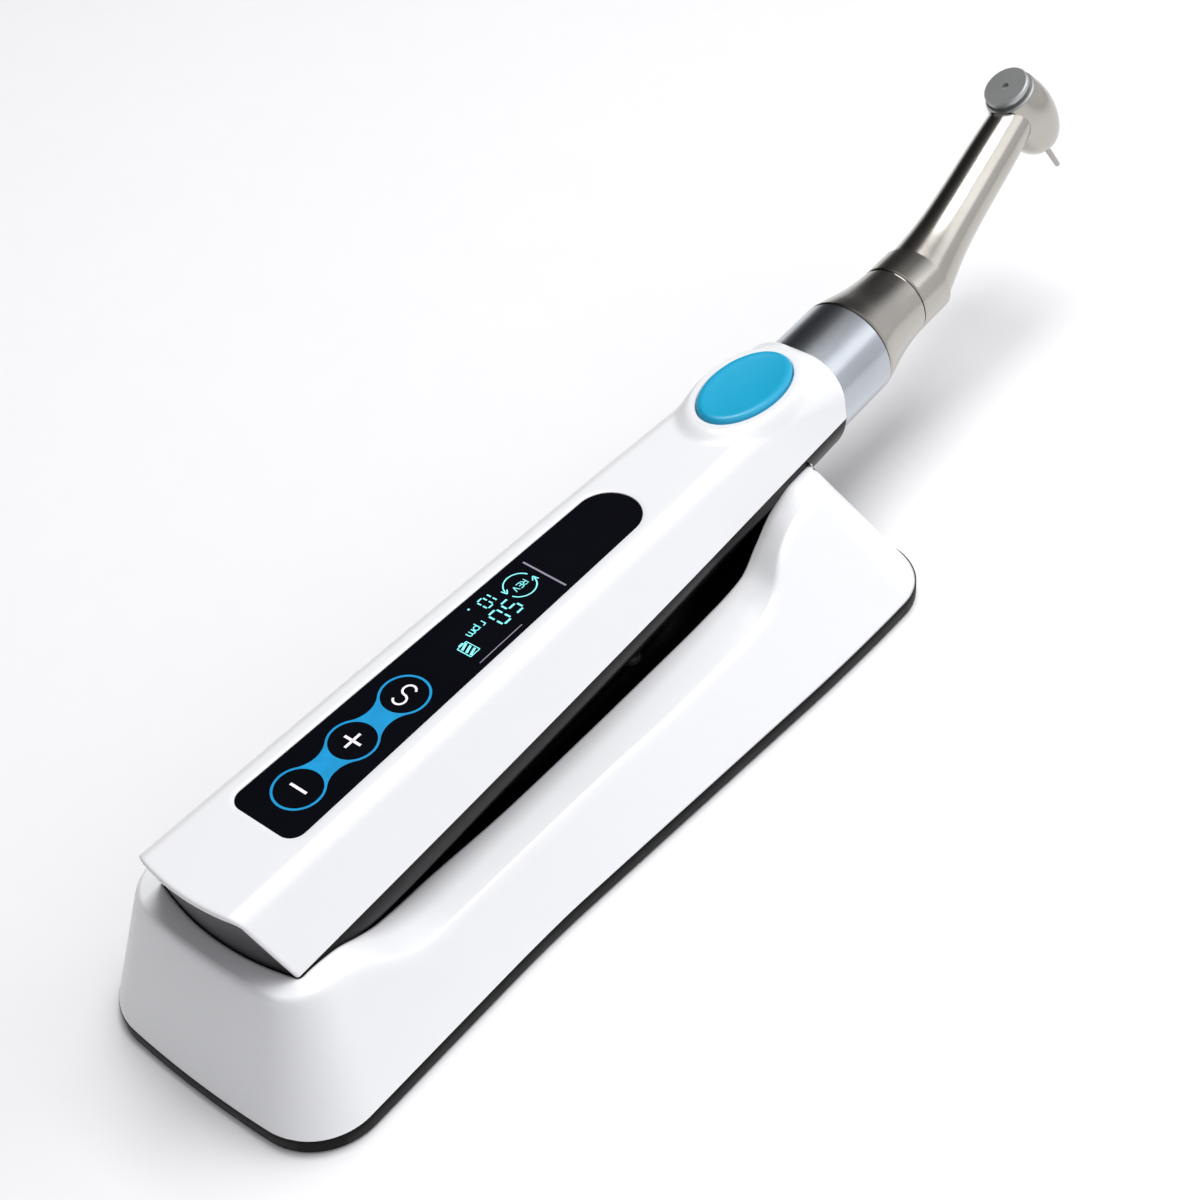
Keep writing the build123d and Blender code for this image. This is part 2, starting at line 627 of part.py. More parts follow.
with BuildPart() as front_bearing:
    revolve(ring_profile(drive_half, -8.2, -5, SHAFT_R + RUN, BEARING_R), axis=drive_axis)
finish("front_bearing", front_bearing.part)

DOG_S = 3.0
with BuildPart() as motor_shaft:
    revolve(ring_profile(drive_half, MOTOR_REAR_S + 1, DOG_S, 0, SHAFT_R), axis=drive_axis)
    with BuildSketch(drive_cross.offset(DOG_S)):
        RegularPolygon(1.5, 6)
    extrude(amount=3.5)
finish("motor_shaft", motor_shaft.part)

# ------------------------------------------------------------------ contra-angle
CROWN_TEETH = 12
CROWN_BACK = 1.0  # elbow to the roots of each crown's teeth
CROWN_TOOTH = 0.8
CROWN_R0, CROWN_R1 = 2.5, 3.4
PINION_TEETH = 8
HEAD_TEETH = 16
NECK_R = 1.1
elbow_plane = Plane(elbow, z_dir=forward + neck_dir)


def head_form(grow):
    """The head's egg-shaped outer form."""
    with BuildPart() as form:
        with BuildSketch(head_half):
            with BuildLine():
                Polyline((-10.8, 2.4 + grow), (-10.8, 0), (4.6, 0), (4.6, 4.9 + grow))
                Spline((4.6, 4.9 + grow), (0.5, 5.75 + grow), (-4.5, 5.6 + grow),
                       (-8.8, 4.3 + grow), (-10.8, 2.4 + grow),
                       tangents=[(-1, 0.25), (-0.45, -1)])
            make_face()
        revolve(axis=head_axis)
    return form.part


def teeth(plane, count, inner, outer, width, height, phase):
    """Ring of square teeth standing on a plane."""
    with BuildPart() as ring:
        with BuildSketch(plane):
            with PolarLocations((inner + outer) / 2, count, start_angle=phase):
                Rectangle(outer - inner, width)
        extrude(amount=height)
    return ring.part


with BuildPart() as drive_shaft:
    revolve(lathe_profile(drive_half, (DOG_S, 0), (DOG_S, 2.6), (9, 2.6), (9, SHAFT_R),
                          (ELBOW_S - CROWN_BACK - 1.6, SHAFT_R),
                          (ELBOW_S - CROWN_BACK - 1.6, CROWN_R1),
                          (ELBOW_S - CROWN_BACK, CROWN_R1), (ELBOW_S - CROWN_BACK, 0)),
            axis=drive_axis)
    with BuildSketch(drive_cross.offset(DOG_S)):
        RegularPolygon(1.55, 6)
    extrude(amount=3.6, mode=Mode.SUBTRACT)
    add(teeth(drive_cross.offset(ELBOW_S - CROWN_BACK), CROWN_TEETH, CROWN_R0, CROWN_R1, 0.5,
              CROWN_TOOTH, 0))
finish("drive_shaft", drive_shaft.part)

with BuildPart() as contra_barrel:
    with BuildSketch(drive_half):
        with BuildLine():
            Polyline((RING_2_S - 0.1, BARREL_R - 0.2), (RING_2_S - 0.1, 5.5), (25, 5.5), (25, 3.2),
                     (16, 3.2), (16, 3.6), (13, 3.6), (13, 3.2), (DOG_S - 1, 3.2),
                     (DOG_S - 1, SPIGOT_R), (RING_1_S, SPIGOT_R), (RING_1_S, SLEEVE_R - 0.3),
                     (RING_1_S + 0.3, SLEEVE_R - 0.05))
            Spline((RING_1_S + 0.3, SLEEVE_R - 0.05), (RING_1_S + 6, SLEEVE_R - 1.35),
                   (RING_2_S - 0.5, BARREL_R), tangents=[(1, -0.18), (1, -0.05)])
            Line((RING_2_S - 0.5, BARREL_R), (RING_2_S - 0.1, BARREL_R - 0.2))
        make_face()
    revolve(axis=drive_axis)
finish("contra_barrel", contra_barrel.part)

with BuildPart() as barrel_bearings:
    revolve(ring_profile(drive_half, 13, 16, SHAFT_R + RUN, 3.6), axis=drive_axis)
    revolve(ring_profile(drive_half, 30.5, 33, SHAFT_R + RUN, 3.6), axis=drive_axis)
finish("barrel_bearings", barrel_bearings.part)

with BuildPart() as elbow_body:
    revolve(lathe_profile(drive_half, (25.1, 0), (25.1, 5.45), (RING_2_S + 0.1, 5.45),
                          (RING_2_S + 0.1, BARREL_R - 0.2), (RING_2_S + 0.4, BARREL_R),
                          (ELBOW_S + 8, BARREL_R), (ELBOW_S + 8, 0)), axis=drive_axis)
    split(bisect_by=elbow_plane, keep=Keep.BOTTOM)

with BuildPart() as neck_body:
    with BuildSketch(neck_half):
        with BuildLine():
            Polyline((NECK_LENGTH - 3, 4.2), (NECK_LENGTH - 3, 0), (-3, 0), (-3, 7.0))
            Spline((-3, 7.0), (1, 6.5), (8, 5.5), (20, 4.8), (NECK_LENGTH - 3, 4.2))
        make_face()
    revolve(axis=neck_axis)
    split(bisect_by=elbow_plane, keep=Keep.TOP)

with BuildPart() as contra_neck:
    add(elbow_body.part)
    add(neck_body.part)
    add(head_form(0), mode=Mode.SUBTRACT)
    revolve(ring_profile(head_half, 4, 9, 0, 5.2), axis=head_axis, mode=Mode.SUBTRACT)
    revolve(lathe_profile(drive_half, (24, 0), (24, 3.0), (30.5, 3.0), (30.5, 3.6), (33, 3.6),
                          (33, 4.0), (38, 4.0), (38, 0)), axis=drive_axis, mode=Mode.SUBTRACT)
    revolve(lathe_profile(neck_half, (-1, 0), (-1, 4.0), (4, 4.0), (4, 1.7),
                          (NECK_LENGTH, 1.7), (NECK_LENGTH, 0)),
            axis=neck_axis, mode=Mode.SUBTRACT)
    revolve(ring_profile(neck_half, NECK_LENGTH - 7, NECK_LENGTH, 0, 2.2), axis=neck_axis,
            mode=Mode.SUBTRACT)
finish("contra_neck", contra_neck.part)

with BuildPart() as neck_bushes:
    revolve(ring_profile(neck_half, 4.2, 7, NECK_R + RUN, 1.7), axis=neck_axis)
    revolve(ring_profile(neck_half, 31, 34, NECK_R + RUN, 1.7), axis=neck_axis)
finish("neck_bushes", neck_bushes.part)

PINION_S0, PINION_S1 = NECK_LENGTH - 3.8, NECK_LENGTH - 2.3
with BuildPart() as neck_shaft:
    revolve(lathe_profile(neck_half, (CROWN_BACK, 0), (CROWN_BACK, CROWN_R1), (2.6, CROWN_R1),
                          (2.6, NECK_R), (PINION_S1, NECK_R), (PINION_S1, 0)), axis=neck_axis)
    add(teeth(neck_cross.offset(CROWN_BACK - CROWN_TOOTH), CROWN_TEETH, CROWN_R0, CROWN_R1, 0.5,
              CROWN_TOOTH + 0.2, 180 / CROWN_TEETH))
    add(teeth(neck_cross.offset(PINION_S0), PINION_TEETH, NECK_R - 0.3, 1.8, 0.45,
              PINION_S1 - PINION_S0, 180 / PINION_TEETH))
finish("neck_shaft", neck_shaft.part)

# ------------------------------------------------------------------ head
SPINDLE_R = 1.6
CAP_R = 4.35
CAP_TRAVEL = 0.7
CAP_TOP = 6.7

with BuildPart() as head_housing:
    add(head_form(0))
    revolve(lathe_profile(head_half, (-12, 0), (-12, 2.2), (-3.5, 2.2), (-3.5, 4.2), (6, 4.2),
                          (6, 0)), axis=head_axis, mode=Mode.SUBTRACT)
    revolve(ring_profile(neck_half, NECK_LENGTH - 9, NECK_LENGTH, 0, 2.2), axis=neck_axis,
            mode=Mode.SUBTRACT)
finish("head_housing", head_housing.part)

with BuildPart() as cap_ring:
    revolve(lathe_profile(head_half, (3.4, 3.6), (3.4, 4.2), (4.6, 4.2), (4.6, 4.85), (4.9, 4.6),
                          (4.9, 3.6)), axis=head_axis)
finish("cap_ring", cap_ring.part)

with BuildPart() as spindle_bushes:
    revolve(ring_profile(head_half, -10.4, -3.6, SPINDLE_R + RUN, 2.2), axis=head_axis)
    revolve(ring_profile(head_half, 2.4, 3.3, SPINDLE_R + RUN, 4.2), axis=head_axis)
finish("spindle_bushes", spindle_bushes.part)

with BuildPart() as chuck_spindle:
    revolve(lathe_profile(head_half, (-10.3, 0.8), (-10.3, SPINDLE_R), (-3.3, SPINDLE_R),
                          (-3.3, 3.5), (-1.85, 3.5), (-1.85, SPINDLE_R), (3.2, SPINDLE_R),
                          (3.2, 0), (-2, 0), (-2, 0.8)), axis=head_axis)
    add(teeth(head_cross.offset(-1.9), HEAD_TEETH, 2.4, 3.4, 0.45, 0.9, 0))
finish("chuck_spindle", chuck_spindle.part)

with BuildPart() as bur:
    revolve(lathe_profile(head_half, (-18.5, 0), (-18.5, 0.35), (-18.2, 0.5), (-10.5, 0.62),
                          (-10.2, 0.75), (-2.1, 0.75), (-2.1, 0)), axis=head_axis)
finish("bur", bur.part)

with BuildPart() as push_cap:
    revolve(lathe_profile(head_half, (4.3, 2.6), (4.3, 3.5), (5.7, 3.5), (5.7, CAP_R),
                          (CAP_TOP - 0.25, CAP_R), (CAP_TOP, CAP_R - 0.25), (CAP_TOP, 0.65),
                          (CAP_TOP - 0.7, 0.65), (CAP_TOP - 0.7, 0), (5.5, 0), (5.5, 2.6)),
            axis=head_axis)
finish("push_cap", push_cap.part)

with BuildPart() as cap_spring:
    revolve(ring_profile(head_half, 3.35, 4.25, 2.7, 3.4), axis=head_axis)
finish("cap_spring", cap_spring.part)
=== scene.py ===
import json
from math import atan2, cos, pi, radians, sin, sqrt

import bpy
import numpy as np
from mathutils import Matrix, Vector
from mathutils.geometry import tessellate_polygon


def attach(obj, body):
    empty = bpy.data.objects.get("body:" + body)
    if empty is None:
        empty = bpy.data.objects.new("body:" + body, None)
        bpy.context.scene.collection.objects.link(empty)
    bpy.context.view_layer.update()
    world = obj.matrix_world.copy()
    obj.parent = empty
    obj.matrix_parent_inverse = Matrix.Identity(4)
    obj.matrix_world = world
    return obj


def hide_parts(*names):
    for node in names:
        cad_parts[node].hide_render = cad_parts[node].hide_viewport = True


# Lengths are in millimetres, as in part.py, and become metres when a mesh is made.
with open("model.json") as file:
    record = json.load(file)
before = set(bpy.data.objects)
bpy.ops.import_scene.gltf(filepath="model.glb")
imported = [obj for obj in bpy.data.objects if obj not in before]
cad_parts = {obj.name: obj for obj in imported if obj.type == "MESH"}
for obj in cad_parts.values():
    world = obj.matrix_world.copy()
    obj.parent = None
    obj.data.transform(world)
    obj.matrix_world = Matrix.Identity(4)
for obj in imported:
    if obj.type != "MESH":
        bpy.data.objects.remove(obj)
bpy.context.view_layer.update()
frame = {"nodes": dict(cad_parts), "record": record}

# ------------------------------------------------------------------ dimensions shared with part.py
TOP = 38.5
LIP_X, NOSE_X = -67.4, 74.5
PART_Z_REAR, PART_SLOPE = 25.2, 0.0201
UNDERCUT, REAR_BULGE_R = 0.2, 42.0
STATIONS = [  # x, half width of the top, shoulder radius, half width at the parting line
    (-76.0, 10.1, 2.6, 14.3),
    (-25.0, 9.7, 2.6, 13.4),
    (25.0, 8.7, 2.8, 12.1),
    (55.0, 8.2, 3.4, 11.0),
    (NOSE_X, 9.4, 7.6, 10.3),
]
MINUS_X, KEY_PITCH = -45.0, 10.8
PANEL_REAR_X, PANEL_TIP_X, PANEL_REAR_HALF, PANEL_FRONT_HALF = -52.5, 28.7, 6.5, 5.5
PANEL_TOP = TOP - 0.15
PANEL_CORNER = 2.4
BUTTON_X, BUTTON_RX, BUTTON_RY = 59.6, 10.4, 6.25
BUTTON_RISE = 2.1
BOSS_RISE, BOSS_REACH_X, BOSS_REACH_Y = 1.3, 12.2, 7.9
PLATE_Z1, CRADLE_TOP = 2.4, 27.0
LINER_X0, LINER_X1 = -41.0, 44.0

DRIVE_TILT, SWIVEL, BEND, HEAD_LEAN = radians(3.5), radians(15.0), radians(16.5), radians(8.5)


def between(a, b, angle):
    """Unit vector at an angle from a, turning towards b."""
    return a * cos(angle) + b * sin(angle)


forward = between(Vector((1, 0, 0)), Vector((0, 0, 1)), DRIVE_TILT)
upward = between(Vector((0, 0, 1)), Vector((-1, 0, 0)), DRIVE_TILT)
lean = between(upward, Vector((0, 1, 0)), SWIVEL)
neck_dir = between(forward, lean, BEND)
neck_up = between(lean, -forward, BEND)
head_up = between(neck_up, -neck_dir, HEAD_LEAN)


# ------------------------------------------------------------------ mesh helpers
def make_piece(name, points, faces, materials, body, face_materials=None, sharp=None):
    """A smooth-shaded mesh from points in millimetres, riding on a body."""
    mesh = bpy.data.meshes.new(name)
    mesh.from_pydata([tuple(c * 0.001 for c in p) for p in points], [], faces)
    for material in materials:
        mesh.materials.append(material)
    if face_materials is not None:
        mesh.polygons.foreach_set("material_index", face_materials)
    mesh.shade_smooth()
    if sharp is not None:
        mesh.set_sharp_from_angle(angle=radians(sharp))
    mesh.validate()
    piece = bpy.data.objects.new(name, mesh)
    bpy.context.scene.collection.objects.link(piece)
    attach(piece, body)
    return piece


class Builder:
    """Gathers grids of points and their faces for one mesh."""

    def __init__(self):
        self.points, self.faces, self.marks = [], [], []

    def grid(self, array, mark=0, closed=False, flip=False, skip=None):
        """Adds an array of rows by columns by 3; skip(centre points) gives True where no face goes."""
        rows, cols = array.shape[:2]
        base = len(self.points)
        self.points.extend(map(tuple, array.reshape(-1, 3)))
        for i in range(rows - 1):
            for j in range(cols if closed else cols - 1):
                k = (j + 1) % cols
                corners = [base + i * cols + j, base + i * cols + k,
                           base + (i + 1) * cols + k, base + (i + 1) * cols + j]
                if skip is not None:
                    centre = (array[i, j] + array[i, k] + array[i + 1, k] + array[i + 1, j]) / 4
                    if skip(centre):
                        continue
                self.faces.append(corners[::-1] if flip else corners)
                self.marks.append(mark)

    def polygon(self, loops, z, mark=0):
        """Adds a flat face bounded by plan loops, the first outside and the rest holes."""
        rings = [[Vector((x, y, z)) for x, y in loop] for loop in loops]
        base = len(self.points)
        for ring in rings:
            self.points.extend(tuple(p) for p in ring)
        for a, b, c in tessellate_polygon(rings):
            pa, pb, pc = (Vector(self.points[base + i]) for i in (a, b, c))
            up = (pb - pa).cross(pc - pa).z > 0
            self.faces.append((base + a, base + b, base + c) if up else (base + c, base + b, base + a))
            self.marks.append(mark)


def curve_through(*stations):
    """Smooth function through (place, value) stations that never overshoots."""
    x, y = (np.array(v, float) for v in zip(*stations))
    step = np.diff(x)
    rise = np.diff(y) / step
    slope = np.zeros(len(x))
    slope[1:-1] = np.where(rise[:-1] * rise[1:] > 0,
                           2 * rise[:-1] * rise[1:] / (rise[:-1] + rise[1:] + 1e-12), 0)
    slope[0], slope[-1] = rise[0], rise[-1]

    def value(at):
        at = np.clip(np.asarray(at, float), x[0], x[-1])
        i = np.clip(np.searchsorted(x, at, side="right") - 1, 0, len(x) - 2)
        t = (at - x[i]) / step[i]
        return ((1 + 2 * t) * (1 - t) ** 2 * y[i] + t * (1 - t) ** 2 * step[i] * slope[i]
                + t * t * (3 - 2 * t) * y[i + 1] + t * t * (t - 1) * step[i] * slope[i + 1])
    return value


def smooth_min(a, b, width):
    """The lower of two heights, with a soft change over a width."""
    t = np.clip(0.5 + 0.5 * (b - a) / width, 0, 1)
    return b * (1 - t) + a * t - width * t * (1 - t)


def smooth_step(a, b, value):
    """0 below a, 1 above b, and a soft change between."""
    t = np.clip((value - a) / (b - a), 0, 1)
    return t * t * (3 - 2 * t)


# ------------------------------------------------------------------ materials
def new_material(name):
    material = bpy.data.materials.new(name)
    material.use_nodes = True
    nodes = material.node_tree.nodes
    return material, nodes, material.node_tree.links, nodes["Principled BSDF"]


def noise_node(nodes, links, coordinate, scale, detail=3.0):
    noise = nodes.new("ShaderNodeTexNoise")
    noise.inputs["Scale"].default_value = scale
    noise.inputs["Detail"].default_value = detail
    links.new(coordinate, noise.inputs["Vector"])
    return noise.outputs["Fac"]


def mapped(nodes, links, value, low, high):
    """A noise value spread over a range."""
    spread = nodes.new("ShaderNodeMapRange")
    spread.inputs["From Min"].default_value = 0.3
    spread.inputs["From Max"].default_value = 0.7
    spread.inputs["To Min"].default_value = low
    spread.inputs["To Max"].default_value = high
    links.new(value, spread.inputs["Value"])
    return spread.outputs["Result"]


def tinted(nodes, links, value, colour, swing):
    """Colour that drifts a little darker and lighter with a value."""
    ramp = nodes.new("ShaderNodeValToRGB")
    ramp.color_ramp.elements[0].position = 0.3
    ramp.color_ramp.elements[1].position = 0.7
    ramp.color_ramp.elements[0].color = (*[c * (1 - swing) for c in colour], 1)
    ramp.color_ramp.elements[1].color = (*[min(1, c * (1 + swing)) for c in colour], 1)
    links.new(value, ramp.inputs["Fac"])
    return ramp.outputs["Color"]


def bumped(nodes, links, shader, value, depth):
    bump = nodes.new("ShaderNodeBump")
    bump.inputs["Strength"].default_value = 1.0
    bump.inputs["Distance"].default_value = depth * 0.001
    links.new(value, bump.inputs["Height"])
    links.new(bump.outputs["Normal"], shader.inputs["Normal"])


def plastic(name, colour, rough, swing=0.03, mottle=60, grain=0.0, grain_scale=3000, coat=0.0,
            shine=0.5):
    """Moulded plastic: slow colour drift, uneven gloss and, where wanted, a fine moulded grain."""
    material, nodes, links, shader = new_material(name)
    place = nodes.new("ShaderNodeTexCoord").outputs["Object"]
    links.new(tinted(nodes, links, noise_node(nodes, links, place, mottle), colour, swing),
              shader.inputs["Base Color"])
    links.new(mapped(nodes, links, noise_node(nodes, links, place, mottle * 4), rough * 0.93,
                     rough * 1.07), shader.inputs["Roughness"])
    shader.inputs["Specular IOR Level"].default_value = shine
    shader.inputs["Coat Weight"].default_value = coat
    shader.inputs["Coat Roughness"].default_value = 0.04
    if grain:
        bumped(nodes, links, shader, noise_node(nodes, links, place, grain_scale, 2.0), grain)
    return material


def turned_metal(name, colour, rough, axis, pitch=0.09, depth=0.0003, swing=0.05):
    """Metal turned about an axis: fine rings along it, and slow change in tint and polish."""
    material, nodes, links, shader = new_material(name)
    place = nodes.new("ShaderNodeTexCoord").outputs["Object"]
    along = nodes.new("ShaderNodeVectorMath")
    along.operation = "DOT_PRODUCT"
    along.inputs[1].default_value = axis
    links.new(place, along.inputs[0])
    rings = nodes.new("ShaderNodeTexNoise")
    rings.noise_dimensions = "1D"
    rings.inputs["Scale"].default_value = 1000 / pitch
    rings.inputs["Detail"].default_value = 2.0
    links.new(along.outputs["Value"], rings.inputs["W"])
    slow = noise_node(nodes, links, place, 90)
    links.new(tinted(nodes, links, slow, colour, swing), shader.inputs["Base Color"])
    shader.inputs["Metallic"].default_value = 1.0
    links.new(mapped(nodes, links, rings.outputs["Fac"], rough * 0.9, rough * 1.12),
              shader.inputs["Roughness"])
    bumped(nodes, links, shader, rings.outputs["Fac"], depth)
    return material


def lit_print(name, colour, glow):
    """Print that glows: a lit colour that is a little uneven. On the display figures the glow is the
    lit display; on the printed rings, key marks and panel lines it is a painted glow.
    """
    material, nodes, links, shader = new_material(name)
    place = nodes.new("ShaderNodeTexCoord").outputs["Object"]
    tint = tinted(nodes, links, noise_node(nodes, links, place, 500), colour, 0.08)
    links.new(tint, shader.inputs["Base Color"])
    links.new(tint, shader.inputs["Emission Color"])
    shader.inputs["Emission Strength"].default_value = glow
    shader.inputs["Roughness"].default_value = 0.4
    return material


MATERIALS = {
    "white_gloss": plastic("white_gloss", (0.85, 0.855, 0.87), 0.30, swing=0.004, mottle=25, coat=0.25),
    "black_gloss": plastic("black_gloss", (0.0025, 0.0025, 0.003), 0.2, swing=0.2, shine=0.06),
    "black_panel": plastic("black_panel", (0.0028, 0.003, 0.0055), 0.10, swing=0.2, shine=0.3),
    "black_satin": plastic("black_satin", (0.0018, 0.0018, 0.002), 0.42, swing=0.15, grain=0.004,
                           shine=0.1),
    "mat_rubber": plastic("mat_rubber", (0.004, 0.004, 0.004), 0.75, swing=0.2, grain=0.01,
                          shine=0.2),
    "dark_grey": plastic("dark_grey", (0.030, 0.028, 0.031), 0.42, swing=0.1, grain=0.003,
                         shine=0.3),
    "button_blue": plastic("button_blue", (0.010, 0.37, 0.60), 0.36, swing=0.03, grain=0.0015),
    "board_green": plastic("board_green", (0.02, 0.15, 0.06), 0.35, swing=0.15, mottle=300),
    "component_black": plastic("component_black", (0.02, 0.02, 0.02), 0.5, grain=0.003),
    "jack_black": plastic("jack_black", (0.012, 0.012, 0.012), 0.45, grain=0.003),
    "cell_sleeve": plastic("cell_sleeve", (0.02, 0.14, 0.40), 0.3, swing=0.06),
    "tray_plastic": plastic("tray_plastic", (0.2, 0.2, 0.21), 0.5, grain=0.004),
    "contact_gold": turned_metal("contact_gold", (0.83, 0.6, 0.25), 0.2, (0, 0, 1)),
    "ballast_iron": plastic("ballast_iron", (0.06, 0.06, 0.062), 0.6, swing=0.3, grain=0.02,
                            grain_scale=1200),
    "screw_steel": turned_metal("screw_steel", (0.55, 0.55, 0.56), 0.3, (0, 0, 1)),
    "spring_steel": turned_metal("spring_steel", (0.5, 0.5, 0.5), 0.3, (0, 0, 1)),
    "motor_metal": turned_metal("motor_metal", (0.45, 0.45, 0.46), 0.35, forward),
    "nose_metal": turned_metal("nose_metal", (0.50, 0.53, 0.57), 0.24, forward),
    "angle_steel": turned_metal("angle_steel", (0.47, 0.45, 0.41), 0.22, neck_dir, depth=0.0002),
    "cap_steel": turned_metal("cap_steel", (0.52, 0.53, 0.53), 0.55, head_up),
    "gear_steel": turned_metal("gear_steel", (0.5, 0.5, 0.52), 0.3, forward),
    "bearing_bronze": turned_metal("bearing_bronze", (0.5, 0.34, 0.17), 0.35, forward),
    "bur_steel": turned_metal("bur_steel", (0.42, 0.40, 0.37), 0.2, head_up),
}
# print_blue, print_white and print_grey are plain print given a painted glow; display_cyan glows as the
# lit display
PRINT_BLUE = lit_print("print_blue", (0.0, 0.26, 0.55), 0.2)
PRINT_WHITE = lit_print("print_white", (0.75, 0.73, 0.78), 0.35)
PRINT_GREY = lit_print("print_grey", (0.28, 0.25, 0.33), 0.1)
DISPLAY_CYAN = lit_print("display_cyan", (0.20, 0.72, 0.74), 0.6)

slot_of = {s["node"]: s["material_slot"] for s in frame["record"]["subparts"]}
for node_name, node in frame["nodes"].items():
    node.data.materials.clear()
    node.data.materials.append(MATERIALS[slot_of[node_name]])


# ------------------------------------------------------------------ handpiece shells
half_top_at = curve_through(*[(s[0], s[1]) for s in STATIONS])
shoulder_at = curve_through(*[(s[0], s[2]) for s in STATIONS])
half_wide_at = curve_through(*[(s[0], s[3]) for s in STATIONS])


def parting_z(x):
    """Height of the line where the two shells meet."""
    return PART_Z_REAR + PART_SLOPE * (x - LIP_X)


def upper_section(x):
    """Points across the upper shell at each x: side, shoulder and half of the top, both sides."""
    side_count, arc_count, flat_count = 12, 12, 22
    top, radius, side, low = half_top_at(x), shoulder_at(x), half_wide_at(x), parting_z(x)
    length = np.hypot(side - top, TOP - low)
    c, s = (side - top) / length, (TOP - low) / length
    reach = radius / np.tan((pi - np.arccos(c)) / 2)
    foot_y, foot_z = top + c * reach, TOP - s * reach
    y, z = [], []
    for t in np.linspace(0, 1, side_count, endpoint=False):
        y.append(side + (foot_y - side) * t)
        z.append(low + (foot_z - low) * t)
    start = np.arctan2(c, s)
    for t in np.linspace(0, 1, arc_count, endpoint=False):
        angle = start + (pi / 2 - start) * t
        y.append(top - reach + radius * np.cos(angle))
        z.append(TOP - radius + radius * np.sin(angle))
    for t in np.linspace(0, 1, flat_count):
        y.append((top - reach) * (1 - t))
        z.append(TOP + 0 * x)
    y, z = np.array(y), np.array(z)
    return np.concatenate([y, -y[-2::-1]]), np.concatenate([z, z[-2::-1]])


def lower_section(x):
    """Points across the half-round lower shell at each x."""
    angle = np.linspace(0, pi, 72)[:, None]
    radius = half_wide_at(x)
    return -radius * np.cos(angle), parting_z(x) - radius * np.sin(angle)


def rear_face_x(y, z, behind=0.0):
    """The slanting, slightly bulged rear face of the handpiece, or a surface behind it."""
    return LIP_X - behind + UNDERCUT * (TOP - z) + y * y / (2 * REAR_BULGE_R)


def shell_rows(section, fractions):
    """Grid of shell points between the slanting rear face and the nose."""
    y, z = section(np.full(len(fractions), LIP_X))
    x = None
    for _ in range(5):
        start = rear_face_x(y, z)
        x = start + (NOSE_X - start) * fractions[None, :]
        column_y, column_z = [], []
        for j in range(len(y)):
            section_y, section_z = section(x[j])
            column_y.append(section_y[j])
            column_z.append(section_z[j])
        y, z = np.array(column_y), np.array(column_z)
    return np.stack([x, y, z], axis=-1).transpose(1, 0, 2)


def section_normals(grid):
    """Unit normals across the shell, pointing out, from neighbours in each row."""
    tangent = np.gradient(grid, axis=1)
    normal = np.stack([np.zeros(grid.shape[:2]), tangent[..., 2], -tangent[..., 1]], axis=-1)
    return normal / np.linalg.norm(normal, axis=-1, keepdims=True)


# shift along x and inset from the skin, from the shell round its edge to the inside
REAR_RIM = [(0.35, 0.0), (0.12, 0.10), (0.0, 0.34), (0.0, 0.75), (0.12, 0.95), (1.9, 1.0)]
NOSE_RIM = [(-0.5, 0.0), (-0.16, 0.12), (0.0, 0.42), (0.0, 0.9), (-1.4, 1.0)]


def with_rims(grid):
    """The shell grid with rounded, turned-in rims at its rear face and nose."""
    normals = section_normals(grid)
    rear = [grid[0] - normals[0] * inset + np.array([back, 0, 0]) for back, inset in REAR_RIM]
    front = [grid[-1] - normals[-1] * inset + np.array([back, 0, 0]) for back, inset in NOSE_RIM]
    return np.concatenate([np.array(rear[::-1]), grid[1:-1], np.array(front)])


def shell_fractions():
    """Places of the rows along the shell, closer together towards the nose."""
    return np.concatenate([[0], np.linspace(0.005, 0.76, 150, endpoint=False),
                           np.linspace(0.76, 0.994, 90), [1]])


def raise_boss(grid):
    """Swells the shell round the start button into a low flat-topped boss."""
    middle = grid.shape[1] // 2
    steps = np.linalg.norm(np.diff(grid, axis=1), axis=-1)
    across = np.concatenate([np.zeros((len(grid), 1)), np.cumsum(steps, axis=1)], axis=1)
    across -= across[:, middle:middle + 1]
    ring = np.hypot((grid[..., 0] - BUTTON_X) / BOSS_REACH_X, across / BOSS_REACH_Y)
    share = (1 - smooth_step(0.96, 1.24, ring))[..., None]
    flat = np.stack([grid[..., 0], -across * 0.97, np.full(ring.shape, TOP + BOSS_RISE)], axis=-1)
    return grid + (flat - grid) * share


def in_panel(x, y, grow):
    """True inside the display panel's outline, grown by an amount."""
    straight_end = PANEL_TIP_X - PANEL_FRONT_HALF
    share = (x - PANEL_REAR_X) / (straight_end - PANEL_REAR_X)
    half = PANEL_REAR_HALF + (PANEL_FRONT_HALF - PANEL_REAR_HALF) * min(max(share, 0), 1) + grow
    if x > straight_end:
        return (x - straight_end) ** 2 + y * y < half * half
    corner = PANEL_CORNER + grow
    corner_x = max(PANEL_REAR_X - grow + corner - x, 0)
    corner_y = max(abs(y) - half + corner, 0)
    return corner_x ** 2 + corner_y ** 2 < corner ** 2


def under_fittings(centre):
    """True where the shell is open for the panel or the start button."""
    x, y, z = centre
    if z < TOP - 0.2:
        return False
    on_button = ((x - BUTTON_X) / (BUTTON_RX + 0.6)) ** 2 + (y / (BUTTON_RY + 0.6)) ** 2 < 1
    return on_button or in_panel(x, y, 0.4)


upper = Builder()
upper_grid = with_rims(raise_boss(shell_rows(upper_section, shell_fractions())))
upper.grid(upper_grid, skip=under_fittings)


